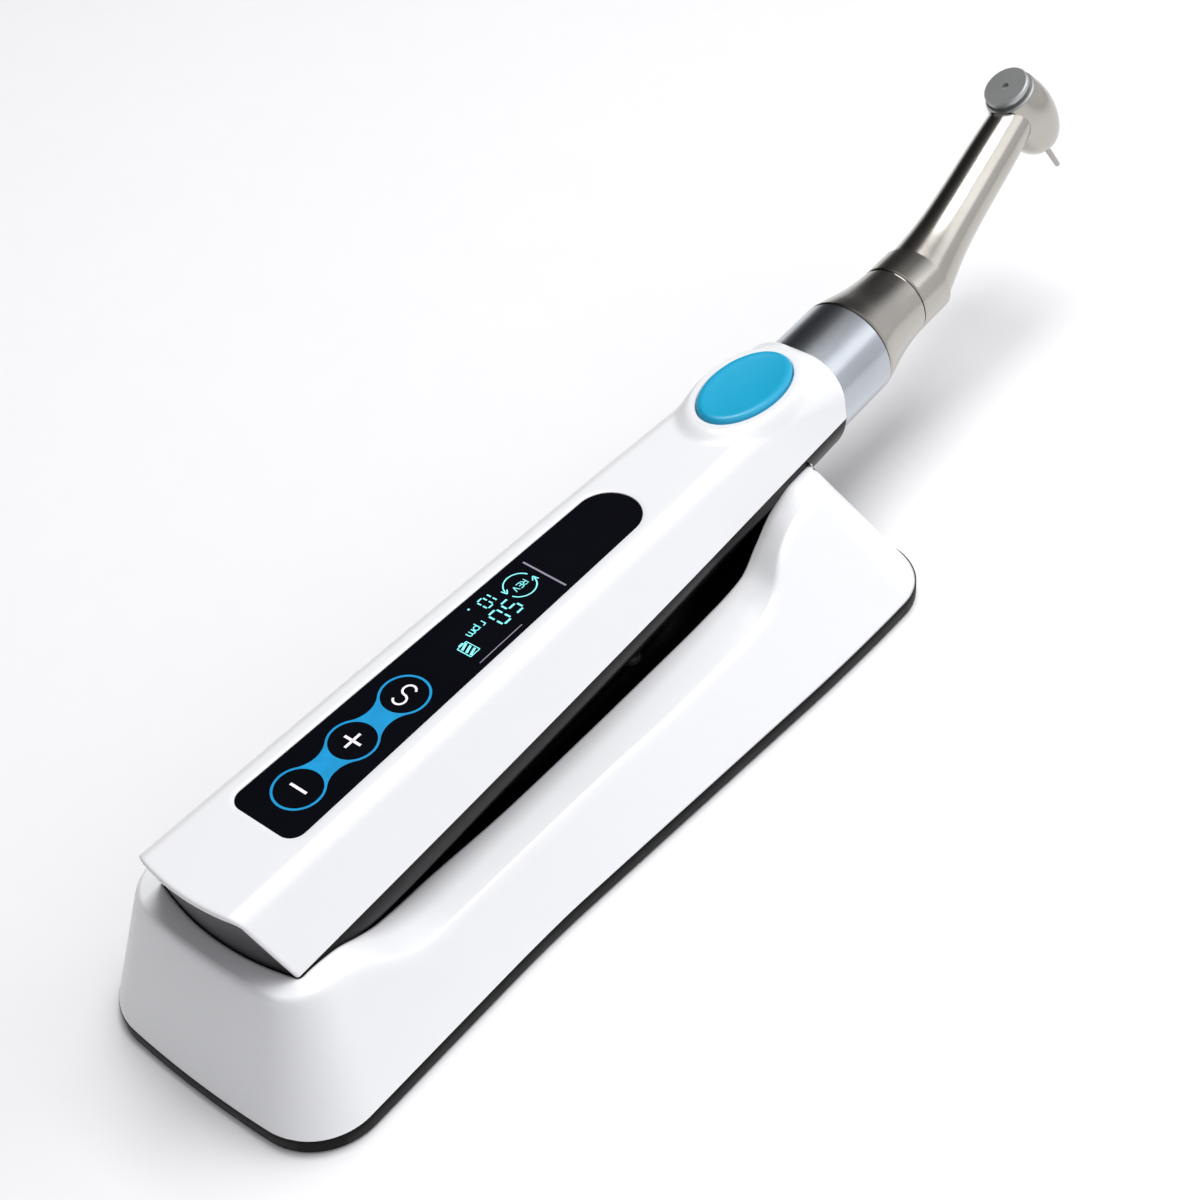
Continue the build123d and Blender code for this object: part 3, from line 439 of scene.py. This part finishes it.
def panel_loop(grow):
    """Panel outline in plan, grown by an amount."""
    arc_steps, side_steps, corner_steps = 40, 60, 8
    straight_end = PANEL_TIP_X - PANEL_FRONT_HALF
    half_rear, half_front = PANEL_REAR_HALF + grow, PANEL_FRONT_HALF + grow
    rear, corner = PANEL_REAR_X - grow, PANEL_CORNER + grow
    loop = [(straight_end + half_front * sin(a), -half_front * cos(a))
            for a in np.linspace(0, pi, arc_steps)]
    for t in np.linspace(0.02, 0.98, side_steps):
        x = straight_end + (rear + corner - straight_end) * t
        loop.append((x, half_front + (half_rear - half_front) * t))
    for a in np.linspace(0, pi / 2, corner_steps):
        loop.append((rear + corner - corner * sin(a), half_rear - corner + corner * cos(a)))
    mirrored = [(x, -y) for x, y in loop[arc_steps:][::-1]]
    return loop + mirrored


def oval_loop(grow):
    """Start button outline in plan, grown by an amount."""
    return [(BUTTON_X + (BUTTON_RX + grow) * cos(a), (BUTTON_RY + grow) * sin(a))
            for a in np.linspace(0, 2 * pi, 128, endpoint=False)]


def bezel(builder, loop, profile, level):
    """Ring round a fitting: loop(grow) at each (grow, height) of a profile."""
    rows = [[(x, y, level + height) for x, y in loop(grow)] for grow, height in profile]
    builder.grid(np.array(rows), closed=True)


bezel(upper, panel_loop, [(0.04, -0.9), (0.04, -0.1), (0.07, -0.03), (0.14, 0.006), (1.0, 0.010)],
      TOP)
bezel(upper, oval_loop, [(0.2, -1.9), (0.2, -0.32), (0.27, -0.12), (0.45, 0.0), (0.7, 0.03),
                         (1.25, 0.02)], TOP + BOSS_RISE)
upper_piece = make_piece("upper_shell_skin", upper.points, upper.faces,
                         [MATERIALS["white_gloss"]], "handpiece")
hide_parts("upper_shell")

lower = Builder()
lower_grid = with_rims(shell_rows(lower_section, shell_fractions()))
lower.grid(lower_grid)
lower_piece = make_piece("lower_shell_skin", lower.points, lower.faces,
                         [MATERIALS["black_gloss"]], "handpiece")
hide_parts("lower_shell")


# ------------------------------------------------------------------ cradle
lip_y = curve_through((-66, 14.6), (-56, 14.5), (-51, 14.0), (-45, 12.7), (-36, 11.7), (-17, 12.2),
                      (4, 12.1), (31, 12.6), (40, 12.9), (46, 11.9), (52, 11.0), (70, 10.9))
lip_z = curve_through((-66, 25.0), (-61, 25.0), (-56, 24.4), (-51, 21.9), (-46, 19.1), (-37, 16.9),
                      (-17, 16.1), (4, 15.7), (22, 16.2), (33, 17.0), (40, 18.3), (46, 21.0),
                      (52, 24.0), (57, 25.9), (70, 26.1))
ridge_z = curve_through((-70, 25.4), (-62, 25.2), (-57, 24.2), (-52, 21.8), (-47, 18.9), (-42, 17.8),
                        (-30, 17.6), (-6, 17.2), (12, 16.6), (27, 16.8), (35, 17.4), (40, 19.4),
                        (45, 24.6), (49, 26.3), (56, 26.3), (70, 26.1))
RIDGE_Y = 19.5


def side_half(x, rear_half, front_half):
    """Half width of the cradle's plan: parallel at the rear, then flaring to the front."""
    share = (x + 25.0) / 75.0
    share = -smooth_min(-smooth_min(share, 1.0, 0.2), 0.0, 0.12)
    return rear_half + (front_half - rear_half) * share


def plan_outline(rear, front, rear_half, front_half, corner, rear_bow, front_bow, half_at=None):
    """Plan outline from the rear's middle round one side to the front's middle."""
    end_steps, corner_steps, side_steps = 30, 26, 150
    if half_at is None:
        def half_at(x):
            return side_half(x, rear_half, front_half)

    def quarter(end, half, bow, inward):
        """End curve and corner arc, from the middle of an end to the side."""
        reach = half - corner
        for _ in range(8):
            lean_angle = np.arctan(2 * bow * reach / half ** 2)
            reach = half - corner * (1 - sin(lean_angle))
        y = np.linspace(0, reach, end_steps)
        curve = np.stack([end + inward * bow * (y / half) ** 2, y], axis=-1)
        centre = curve[-1] + corner * np.array([inward * cos(lean_angle), -sin(lean_angle)])
        turn = np.linspace(lean_angle, pi / 2, corner_steps)[1:]
        arc = centre + corner * np.stack([-inward * np.cos(turn), np.sin(turn)], axis=-1)
        return np.concatenate([curve, arc])

    rear_quarter = quarter(rear, rear_half, rear_bow, 1)
    front_quarter = quarter(front, front_half, front_bow, -1)
    x = np.linspace(rear_quarter[-1, 0], front_quarter[-1, 0], side_steps)[1:-1]
    side = np.stack([x, half_at(x)], axis=-1)
    return np.concatenate([rear_quarter, side, front_quarter[::-1]])


foot = plan_outline(-75.2, 77.5, 24.5, 29.8, 11.0, 1.5, 6.0)
brow = plan_outline(-67.0, 64.5, 17.8, 15.4, 6.5, 1.5, 5.0)
lip = plan_outline(-64.9, 70.0, 14.6, 10.9, 1.4, 2.4, 0.1, half_at=lip_y)
NOTCH_HALF = 10.9
keep = brow[:, 1] >= NOTCH_HALF
keep |= brow[:, 0] < 0
last = int(np.nonzero(keep)[0][-1]) + 1
WALL_HEIGHT = CRADLE_TOP - PLATE_Z1
BAND_TOP = 2.9  # top of the black base band
BAND_SHARE = (BAND_TOP - PLATE_Z1) / WALL_HEIGHT


def top_height(x, y):
    """Height of the cradle's upper band, from the ridge in to the lip."""
    share = (np.abs(y) - lip_y(x)) / (RIDGE_Y - lip_y(x))
    share = np.clip(share, -0.2, 1.6)
    return lip_z(x) + (ridge_z(x) - lip_z(x)) * share


def strip(side):
    """Rows up the outer wall and in over the band to the lip, on one side."""
    rows = []
    wall_steps, band_steps = 46, 26
    edge = lip[:last].copy()
    front_wall_x = brow[last - 1, 0] + 1.0
    edge[:, 0] = np.minimum(edge[:, 0], front_wall_x)
    edge[:, 1] = np.where(edge[:, 0] > -60, lip_y(edge[:, 0]), edge[:, 1])
    for t in np.linspace(BAND_SHARE, 1, wall_steps, endpoint=False):
        plan = foot[:last] + (brow[:last] - foot[:last]) * t
        wall = np.full(last, PLATE_Z1 + WALL_HEIGHT * t)
        rows.append((plan, wall))
    for t in np.linspace(0, 1, band_steps):
        plan = brow[:last] + (edge - brow[:last]) * t
        run = np.linalg.norm(edge - brow[:last], axis=1) * t
        rows.append((plan, CRADLE_TOP + run * 2.0))
    out = []
    for plan, wall in rows:
        x, y = plan[:, 0], plan[:, 1]
        z = smooth_min(wall, top_height(x, y), 2.0)
        out.append(np.stack([x, y * side, z], axis=-1))
    lip_row = out[-1]
    inward = np.stack([np.where(lip_row[:, 0] < -62.5, 1.0, 0.0),
                       np.where(lip_row[:, 0] < -62.5, 0.0, -side), np.zeros(last)], axis=-1)
    radius = 0.7
    for a in np.linspace(0.2, 1, 5) * pi / 2:
        drop = np.array([0, 0, -radius * (1 - cos(a))])
        out.append(lip_row + inward * radius * sin(a) + drop)
    out.append(out[-1] + np.array([0, 0, -1.0]))
    return np.array(out)


def trough_arcs(x_values):
    """Half-round trough under the handpiece, from lip to lip, at each x."""
    x = np.asarray(x_values, float)
    centre = parting_z(x)
    wide, low = lip_y(x) - 0.72, lip_z(x) - 0.75
    radius = np.hypot(wide, centre - low)
    start = np.arctan2(centre - low, wide)
    rows = []
    for t in np.linspace(0, 1, 40):
        angle = start + (pi - 2 * start) * t
        rows.append(np.stack([x, -radius * np.cos(angle), centre - radius * np.sin(angle)], axis=-1))
    return np.array(rows)


shell = Builder()
left_strip, right_strip = strip(1), strip(-1)
shell.grid(left_strip, flip=True)
shell.grid(right_strip)

# front wall below the notch that the handpiece's nose leaves through
patch_columns = []
arc_radius = np.hypot(lip_y(68.0) - 0.7, parting_z(68.0) - lip_z(68.0) + 0.75)
for i in range(last - 1, len(foot)):
    column = []
    lower_t, upper_t = 0.0, 1.0
    for _ in range(40):
        t = (lower_t + upper_t) / 2
        plan = foot[i] + (brow[i] - foot[i]) * t
        z = PLATE_Z1 + WALL_HEIGHT * t
        y = min(abs(plan[1]), arc_radius)
        notch = parting_z(plan[0]) - sqrt(max(arc_radius ** 2 - y * y, 0))
        if z < notch:
            lower_t = t
        else:
            upper_t = t
    for t in np.linspace(BAND_SHARE, lower_t, 30):
        plan = foot[i] + (brow[i] - foot[i]) * t
        column.append((plan[0], plan[1], PLATE_Z1 + WALL_HEIGHT * t))
    patch_columns.append(column)
patch = np.array(patch_columns).transpose(1, 0, 2)
shell.grid(patch, flip=True)
shell.grid(patch * np.array([1, -1, 1]))


def to_front_wall(arcs):
    """Ends trough arcs on the sloping front wall."""
    z = arcs[:, -1, 2]
    share = (z - PLATE_Z1) / WALL_HEIGHT
    wall_x = foot[-1, 0] + (brow[-1, 0] - foot[-1, 0]) * share
    wall_x -= 5.5 * (arcs[:, -1, 1] / 22.0) ** 2
    stretch = smooth_step(0.0, 1.0, np.linspace(0, 1, arcs.shape[1]))
    arcs[:, :, 0] += (wall_x - arcs[:, -1, 0])[:, None] * stretch[None, :]
    return arcs


# faces with mark 1 take the black material: black on the white shell's trough ends and rear end wall is
# painted shade for the deep shadow round the handpiece
shell.grid(to_front_wall(trough_arcs(np.linspace(LINER_X1 - 0.5, 66.0, 30))), mark=1)
rear_arcs = trough_arcs(np.linspace(-62.8, LINER_X0 + 0.5, 30))
shell.grid(rear_arcs, mark=1)
end_wall = []
for drop in np.linspace(0, 13, 14):
    y = np.linspace(-14.4, 14.4, 40)
    z = np.full(40, 24.6 - drop)
    end_wall.append(np.stack([rear_face_x(y, z, 0.5), y, z], axis=-1))
shell.grid(np.array(end_wall), mark=1)
# the second material, black_gloss, is the painted shade on the trough's ends and rear end wall
shell_piece = make_piece("cradle_shell_skin", shell.points, shell.faces,
                         [MATERIALS["white_gloss"], MATERIALS["black_gloss"]], "cradle",
                         face_materials=shell.marks)
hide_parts("cradle_shell")

base = Builder()
for side in (1, -1):
    rows = []
    for inset, z in ((0.25, BAND_TOP + 0.3), (0.12, BAND_TOP), (0.12, 0.5), (0.3, 0.25), (1.8, 0.25)):
        plan = foot * (1 - np.array([inset / 76.0, inset / 27.0]))
        rows.append(np.stack([plan[:, 0], plan[:, 1] * side, np.full(len(plan), z)], axis=-1))
    base.grid(np.array(rows), flip=side < 0)
base_piece = make_piece("cradle_base_band", base.points, base.faces, [MATERIALS["black_satin"]],
                        "cradle", sharp=40)
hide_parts("cradle_plate")

liner = Builder()
liner.grid(trough_arcs(np.linspace(LINER_X0 - 0.5, LINER_X1 + 0.5, 80)))
liner_piece = make_piece("cradle_liner_skin", liner.points, liner.faces,
                         [MATERIALS["black_gloss"]], "cradle")
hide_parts("cradle_liner")


# ------------------------------------------------------------------ printed marks and display
MARK_Z = PANEL_TOP + 0.012
KEY_XS = [MINUS_X + KEY_PITCH * i for i in range(3)]
RING_IN, RING_OUT = 3.62, 4.0


def arc_points(cx, cy, radius, start, end):
    """Plan points along an arc."""
    return [(cx + radius * cos(a), cy + radius * sin(a)) for a in np.linspace(start, end, 24)]


def ribbon(builder, points, width):
    """Flat line of an even width through plan points."""
    points = [Vector(p) for p in points]
    rows = []
    for i, p in enumerate(points):
        ahead = points[min(i + 1, len(points) - 1)] - points[max(i - 1, 0)]
        ahead.normalize()
        across = Vector((-ahead.y, ahead.x)) * width / 2
        rows.append([(p.x + across.x, p.y + across.y, MARK_Z),
                     (p.x - across.x, p.y - across.y, MARK_Z)])
    builder.grid(np.array(rows))


def stroke(builder, place, strokes, size, width, right, up):
    """Glyph from strokes drawn in a box one unit high, at a place with its own right and up."""
    for points in strokes:
        placed = [(place[0] + size * (u * right[0] + v * up[0]),
                   place[1] + size * (u * right[1] + v * up[1])) for u, v in points]
        ribbon(builder, placed, width)


def arc_stroke(cu, cv, radius, start, end, steps=12):
    """Stroke along an arc in a glyph's box, between angles in degrees."""
    return [(cu + radius * cos(radians(a)), cv + radius * sin(radians(a)))
            for a in np.linspace(start, end, steps)]


SEGMENTS = {  # seven-segment bars in a box 0.6 wide and 1 high
    "a": [(0.10, 1.0), (0.50, 1.0)], "b": [(0.58, 0.92), (0.58, 0.58)],
    "c": [(0.58, 0.42), (0.58, 0.08)], "d": [(0.10, 0.0), (0.50, 0.0)],
    "e": [(0.02, 0.08), (0.02, 0.42)], "f": [(0.02, 0.58), (0.02, 0.92)],
    "g": [(0.10, 0.5), (0.50, 0.5)],
}
DIGITS = {"5": "afgcd", "0": "abcdef", "1": "bc"}
LETTERS = {
    "R": [[(0, 0), (0, 1), (0.4, 1)], arc_stroke(0.4, 0.76, 0.24, 90, -90),
          [(0.4, 0.52), (0, 0.52)], [(0.3, 0.52), (0.62, 0)]],
    "E": [[(0.6, 1), (0, 1)], [(0, 1), (0, 0)], [(0, 0), (0.6, 0)], [(0, 0.52), (0.5, 0.52)]],
    "V": [[(0, 1), (0.32, 0)], [(0.32, 0), (0.64, 1)]],
    "r": [[(0.05, 0), (0.05, 0.66)], arc_stroke(0.3, 0.4, 0.26, 170, 60)],
    "p": [[(0.05, -0.3), (0.05, 0.66)], arc_stroke(0.33, 0.33, 0.3, -180, 180, 24)],
    "m": [[(0.0, 0), (0.0, 0.66)], arc_stroke(0.2, 0.45, 0.2, 180, 0), [(0.4, 0.45), (0.4, 0)],
          arc_stroke(0.6, 0.45, 0.2, 180, 0), [(0.8, 0.45), (0.8, 0)]],
}


def write(builder, text, place, size, width, pitch, right, up):
    """Writes letters and digits in a row."""
    x, y = place
    for letter in text:
        glyph = LETTERS.get(letter) or [SEGMENTS[s] for s in DIGITS[letter]]
        stroke(builder, (x, y), glyph, size, width, right, up)
        x, y = x + right[0] * pitch, y + right[1] * pitch


rings = Builder()
for i, x in enumerate(KEY_XS):
    around = np.linspace(0, 2 * pi, 97)
    rows = [[(x + r * cos(a), r * sin(a), MARK_Z) for a in around] for r in (RING_OUT, RING_IN)]
    rings.grid(np.array(rows).transpose(1, 0, 2), flip=True)
    if i == 2:
        continue
    waist, half_pitch = 2.1, KEY_PITCH / 2
    curve_r = (half_pitch ** 2 + waist ** 2 - RING_OUT ** 2) / (2 * (RING_OUT - waist))
    centre_y = curve_r + waist
    tangent = atan2(centre_y, half_pitch)
    left = arc_points(x, 0, RING_OUT - 0.1, -tangent, tangent)
    top_arc = arc_points(x + half_pitch, centre_y, curve_r, pi + tangent, 2 * pi - tangent)[1:-1]
    right_side = arc_points(x + KEY_PITCH, 0, RING_OUT - 0.1, pi - tangent, pi + tangent)
    low_arc = [(arc_x, -arc_y) for arc_x, arc_y in top_arc[::-1]]
    rings.polygon([left + top_arc + right_side + low_arc], MARK_Z + 0.001)
make_piece("key_rings", rings.points, rings.faces, [PRINT_BLUE], "handpiece")

SCREEN_RIGHT, SCREEN_UP = (-1, 0), (0, -1)
screen = Builder()
write(screen, "50", (0.3, 0.75), 3.2, 0.33, 2.8, SCREEN_RIGHT, SCREEN_UP)
write(screen, "10", (0.4, 4.1), 2.3, 0.27, 2.2, SCREEN_RIGHT, SCREEN_UP)
write(screen, "rpm", (-5.6, 0.95), 1.5, 0.17, 1.15, SCREEN_RIGHT, SCREEN_UP)
write(screen, "REV", (4.75, 1.65), 1.15, 0.15, 0.95, SCREEN_RIGHT, SCREEN_UP)
ribbon(screen, [(-4.75, 4.1), (-5.1, 4.1)], 0.34)
DIAL_X, DIAL_Y, DIAL_R = 3.5, 1.15, 2.6
for start in (0, pi):
    ribbon(screen, arc_points(DIAL_X, DIAL_Y, DIAL_R, start + 0.25, start + pi - 0.3), 0.22)
    tip = start + pi - 0.12
    for turn in (-0.42, 0.42):
        end = Vector((DIAL_X + DIAL_R * cos(tip), DIAL_Y + DIAL_R * sin(tip)))
        back = Vector((DIAL_X + (DIAL_R + turn * 1.2) * cos(tip - 0.36),
                       DIAL_Y + (DIAL_R + turn * 1.2) * sin(tip - 0.36)))
        ribbon(screen, [end, back], 0.2)
CELL_X, CELL_Y, CELL_W, CELL_H = -11.2, -1.5, 2.0, 2.7
corners = [(-1, -1), (1, -1), (1, 1), (-1, 1), (-1, -1)]
for (ax, ay), (bx, by) in zip(corners, corners[1:]):
    ribbon(screen, [(CELL_X + ax * CELL_W / 2, CELL_Y + ay * CELL_H / 2),
                    (CELL_X + bx * CELL_W / 2, CELL_Y + by * CELL_H / 2)], 0.16)
ribbon(screen, [(CELL_X - 0.45, CELL_Y + CELL_H / 2 + 0.2),
                (CELL_X + 0.45, CELL_Y + CELL_H / 2 + 0.2)], 0.26)
for level in (-0.85, 0.0, 0.85):
    ribbon(screen, [(CELL_X - 0.75, CELL_Y + level - 0.25), (CELL_X + 0.75, CELL_Y + level + 0.25)],
           0.42)
make_piece("display_figures", screen.points, screen.faces, [DISPLAY_CYAN], "handpiece")

for line_name, ends, line_width in (
        ("panel_cross_line", [(7.65, 4.1), (7.4, -4.7)], 0.34),
        ("panel_side_line", [(-12.4, -4.8), (-2.8, -4.68)], 0.16)):
    line = Builder()
    ribbon(line, ends, line_width)
    make_piece(line_name, line.points, line.faces, [PRINT_GREY], "handpiece")

KEY_RIGHT, KEY_UP = (0, -1), (1, 0)
S_CURVE = (arc_stroke(0, 0.27, 0.27, 20, 250, 16) + arc_stroke(0, -0.27, 0.27, 70, -160, 16))
for key_name, body, key_x, glyph in (
        ("minus_mark", "minus_key", KEY_XS[0], [[(-0.5, 0), (0.5, 0)]]),
        ("plus_mark", "plus_key", KEY_XS[1], [[(-0.5, 0), (0.5, 0)], [(0, -0.5), (0, 0.5)]]),
        ("s_mark", "s_key", KEY_XS[2], [S_CURVE])):
    mark = Builder()
    size, width = (3.8, 0.36) if key_name == "s_mark" else (3.2, 0.46)
    stroke(mark, (key_x, 0), glyph, size, width, KEY_RIGHT, KEY_UP)
    make_piece(key_name, mark.points, mark.faces, [PRINT_WHITE], body)


# ------------------------------------------------------------------ start button
button = Builder()
around = np.linspace(0, 2 * pi, 160, endpoint=False)
button_profile = [(1.0, -1.4), (1.0, -0.65), (0.0, -0.62), (0.0, BUTTON_RISE - 0.75),
                  (-0.08, BUTTON_RISE - 0.42), (-0.3, BUTTON_RISE - 0.16), (-0.62, BUTTON_RISE - 0.03),
                  (-0.95, BUTTON_RISE), (-1.3, BUTTON_RISE - 0.02), (-1.7, BUTTON_RISE - 0.09)]
rows = []
for grow, height in button_profile:
    rows.append([(BUTTON_X + (BUTTON_RX + grow) * cos(a), (BUTTON_RY + grow) * sin(a), TOP + height)
                 for a in around])
for share in np.linspace(0.94, 0.01, 18):
    rim_x, rim_y = BUTTON_RX - 1.7, BUTTON_RY - 1.7
    dish = BUTTON_RISE - 0.09 - 0.30 * (1 - share ** 2)
    rows.append([(BUTTON_X + rim_x * share * cos(a), rim_y * share * sin(a), TOP + dish)
                 for a in around])
button.grid(np.array(rows), closed=True)
button_piece = make_piece("start_button_skin", button.points, button.faces,
                          [MATERIALS["button_blue"]], "start_button")
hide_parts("start_button")


# ------------------------------------------------------------------ floor, light and world
def stage_plane(name, size, material):
    """A level square sheet at the ground, as part of the stage."""
    mesh = bpy.data.meshes.new(name)
    half = size / 2
    mesh.from_pydata([(-half, -half, 0), (half, -half, 0), (half, half, 0), (-half, half, 0)], [],
                     [(0, 1, 2, 3)])
    mesh.materials.append(material)
    plane = bpy.data.objects.new(name, mesh)
    bpy.context.scene.collection.objects.link(plane)


stage_plane("floor", 6.0, plastic("floor_paper", (0.93, 0.93, 0.935), 0.7, swing=0.004))


def area_light(name, place, power):
    """Soft square light aimed at the part."""
    data = bpy.data.lights.new(name, "AREA")
    data.shape = "RECTANGLE"
    data.size, data.size_y = 0.5, 0.5
    data.energy = power
    light = bpy.data.objects.new(name, data)
    light.location = place
    light.rotation_mode = "QUATERNION"
    light.rotation_quaternion = (LIGHT_AIM - Vector(place)).to_track_quat("-Z", "Y")
    bpy.context.scene.collection.objects.link(light)


LIGHT_AIM = Vector((0, 0, 0.02))
area_light("key_light", (0.45, -0.55, 0.65), 0.8)
area_light("top_light", (0.22, 0.0, 0.9), 6.2)

world = bpy.data.worlds.new("studio")
world.use_nodes = True
world_nodes, world_links = world.node_tree.nodes, world.node_tree.links
direction = world_nodes.new("ShaderNodeTexCoord").outputs["Generated"]


def sky_ramp(axis, stops):
    """Grey level of the sky by how far a direction turns from an axis: (cosine, level) stops."""
    facing = world_nodes.new("ShaderNodeVectorMath")
    facing.operation = "DOT_PRODUCT"
    facing.inputs[1].default_value = Vector(axis).normalized()
    world_links.new(direction, facing.inputs[0])
    spread = world_nodes.new("ShaderNodeMapRange")
    spread.inputs["From Min"].default_value = -1.0
    spread.inputs["From Max"].default_value = 1.0
    world_links.new(facing.outputs["Value"], spread.inputs["Value"])
    ramp = world_nodes.new("ShaderNodeValToRGB")
    ramp.color_ramp.interpolation = "EASE"
    elements = ramp.color_ramp.elements
    while len(elements) < len(stops):
        elements.new(0.5)
    for element, (cosine, level) in zip(elements, stops):
        element.position = (cosine + 1) / 2
        element.color = (level, level, level * 1.02, 1)
    world_links.new(spread.outputs["Result"], ramp.inputs["Fac"])
    return ramp.outputs["Color"]


side_sky = sky_ramp((0.6, -0.75, 0.3), [(-0.55, 0.02), (0.45, 1.0)])
far_sky = sky_ramp((0.52, 0.50, 0.69), [(0.60, 1.0), (0.90, 0.07)])
sky = world_nodes.new("ShaderNodeMix")
sky.data_type = "RGBA"
sky.blend_type = "MULTIPLY"
sky.inputs["Factor"].default_value = 1.0
world_links.new(side_sky, sky.inputs["A"])
world_links.new(far_sky, sky.inputs["B"])
world_links.new(sky.outputs["Result"], world_nodes["Background"].inputs["Color"])
world_nodes["Background"].inputs["Strength"].default_value = 0.78
bpy.context.scene.world = world
bpy.context.scene.view_settings.view_transform = "Standard"

# ------------------------------------------------------------------ camera
CAMERA_PLACE = Vector((-0.1485, -0.1608, 0.2434))
TURN, DIP, ROLL = radians(46.22), radians(43.45), radians(-6.78)

right = Vector((cos(TURN), -sin(TURN), 0))
back = Vector((-sin(TURN) * cos(DIP), -cos(TURN) * cos(DIP), sin(DIP)))
above = back.cross(right)
cam_x = right * cos(ROLL) + above * sin(ROLL)
cam_y = above * cos(ROLL) - right * sin(ROLL)

camera_data = bpy.data.cameras.new("camera")
camera_data.lens = 59.89
camera_data.sensor_width = 36
camera_data.clip_start = 0.01
camera = bpy.data.objects.new("camera", camera_data)
basis = Matrix((cam_x, cam_y, back)).transposed().to_4x4()
camera.matrix_world = Matrix.Translation(CAMERA_PLACE) @ basis
bpy.context.scene.collection.objects.link(camera)
bpy.context.scene.camera = camera
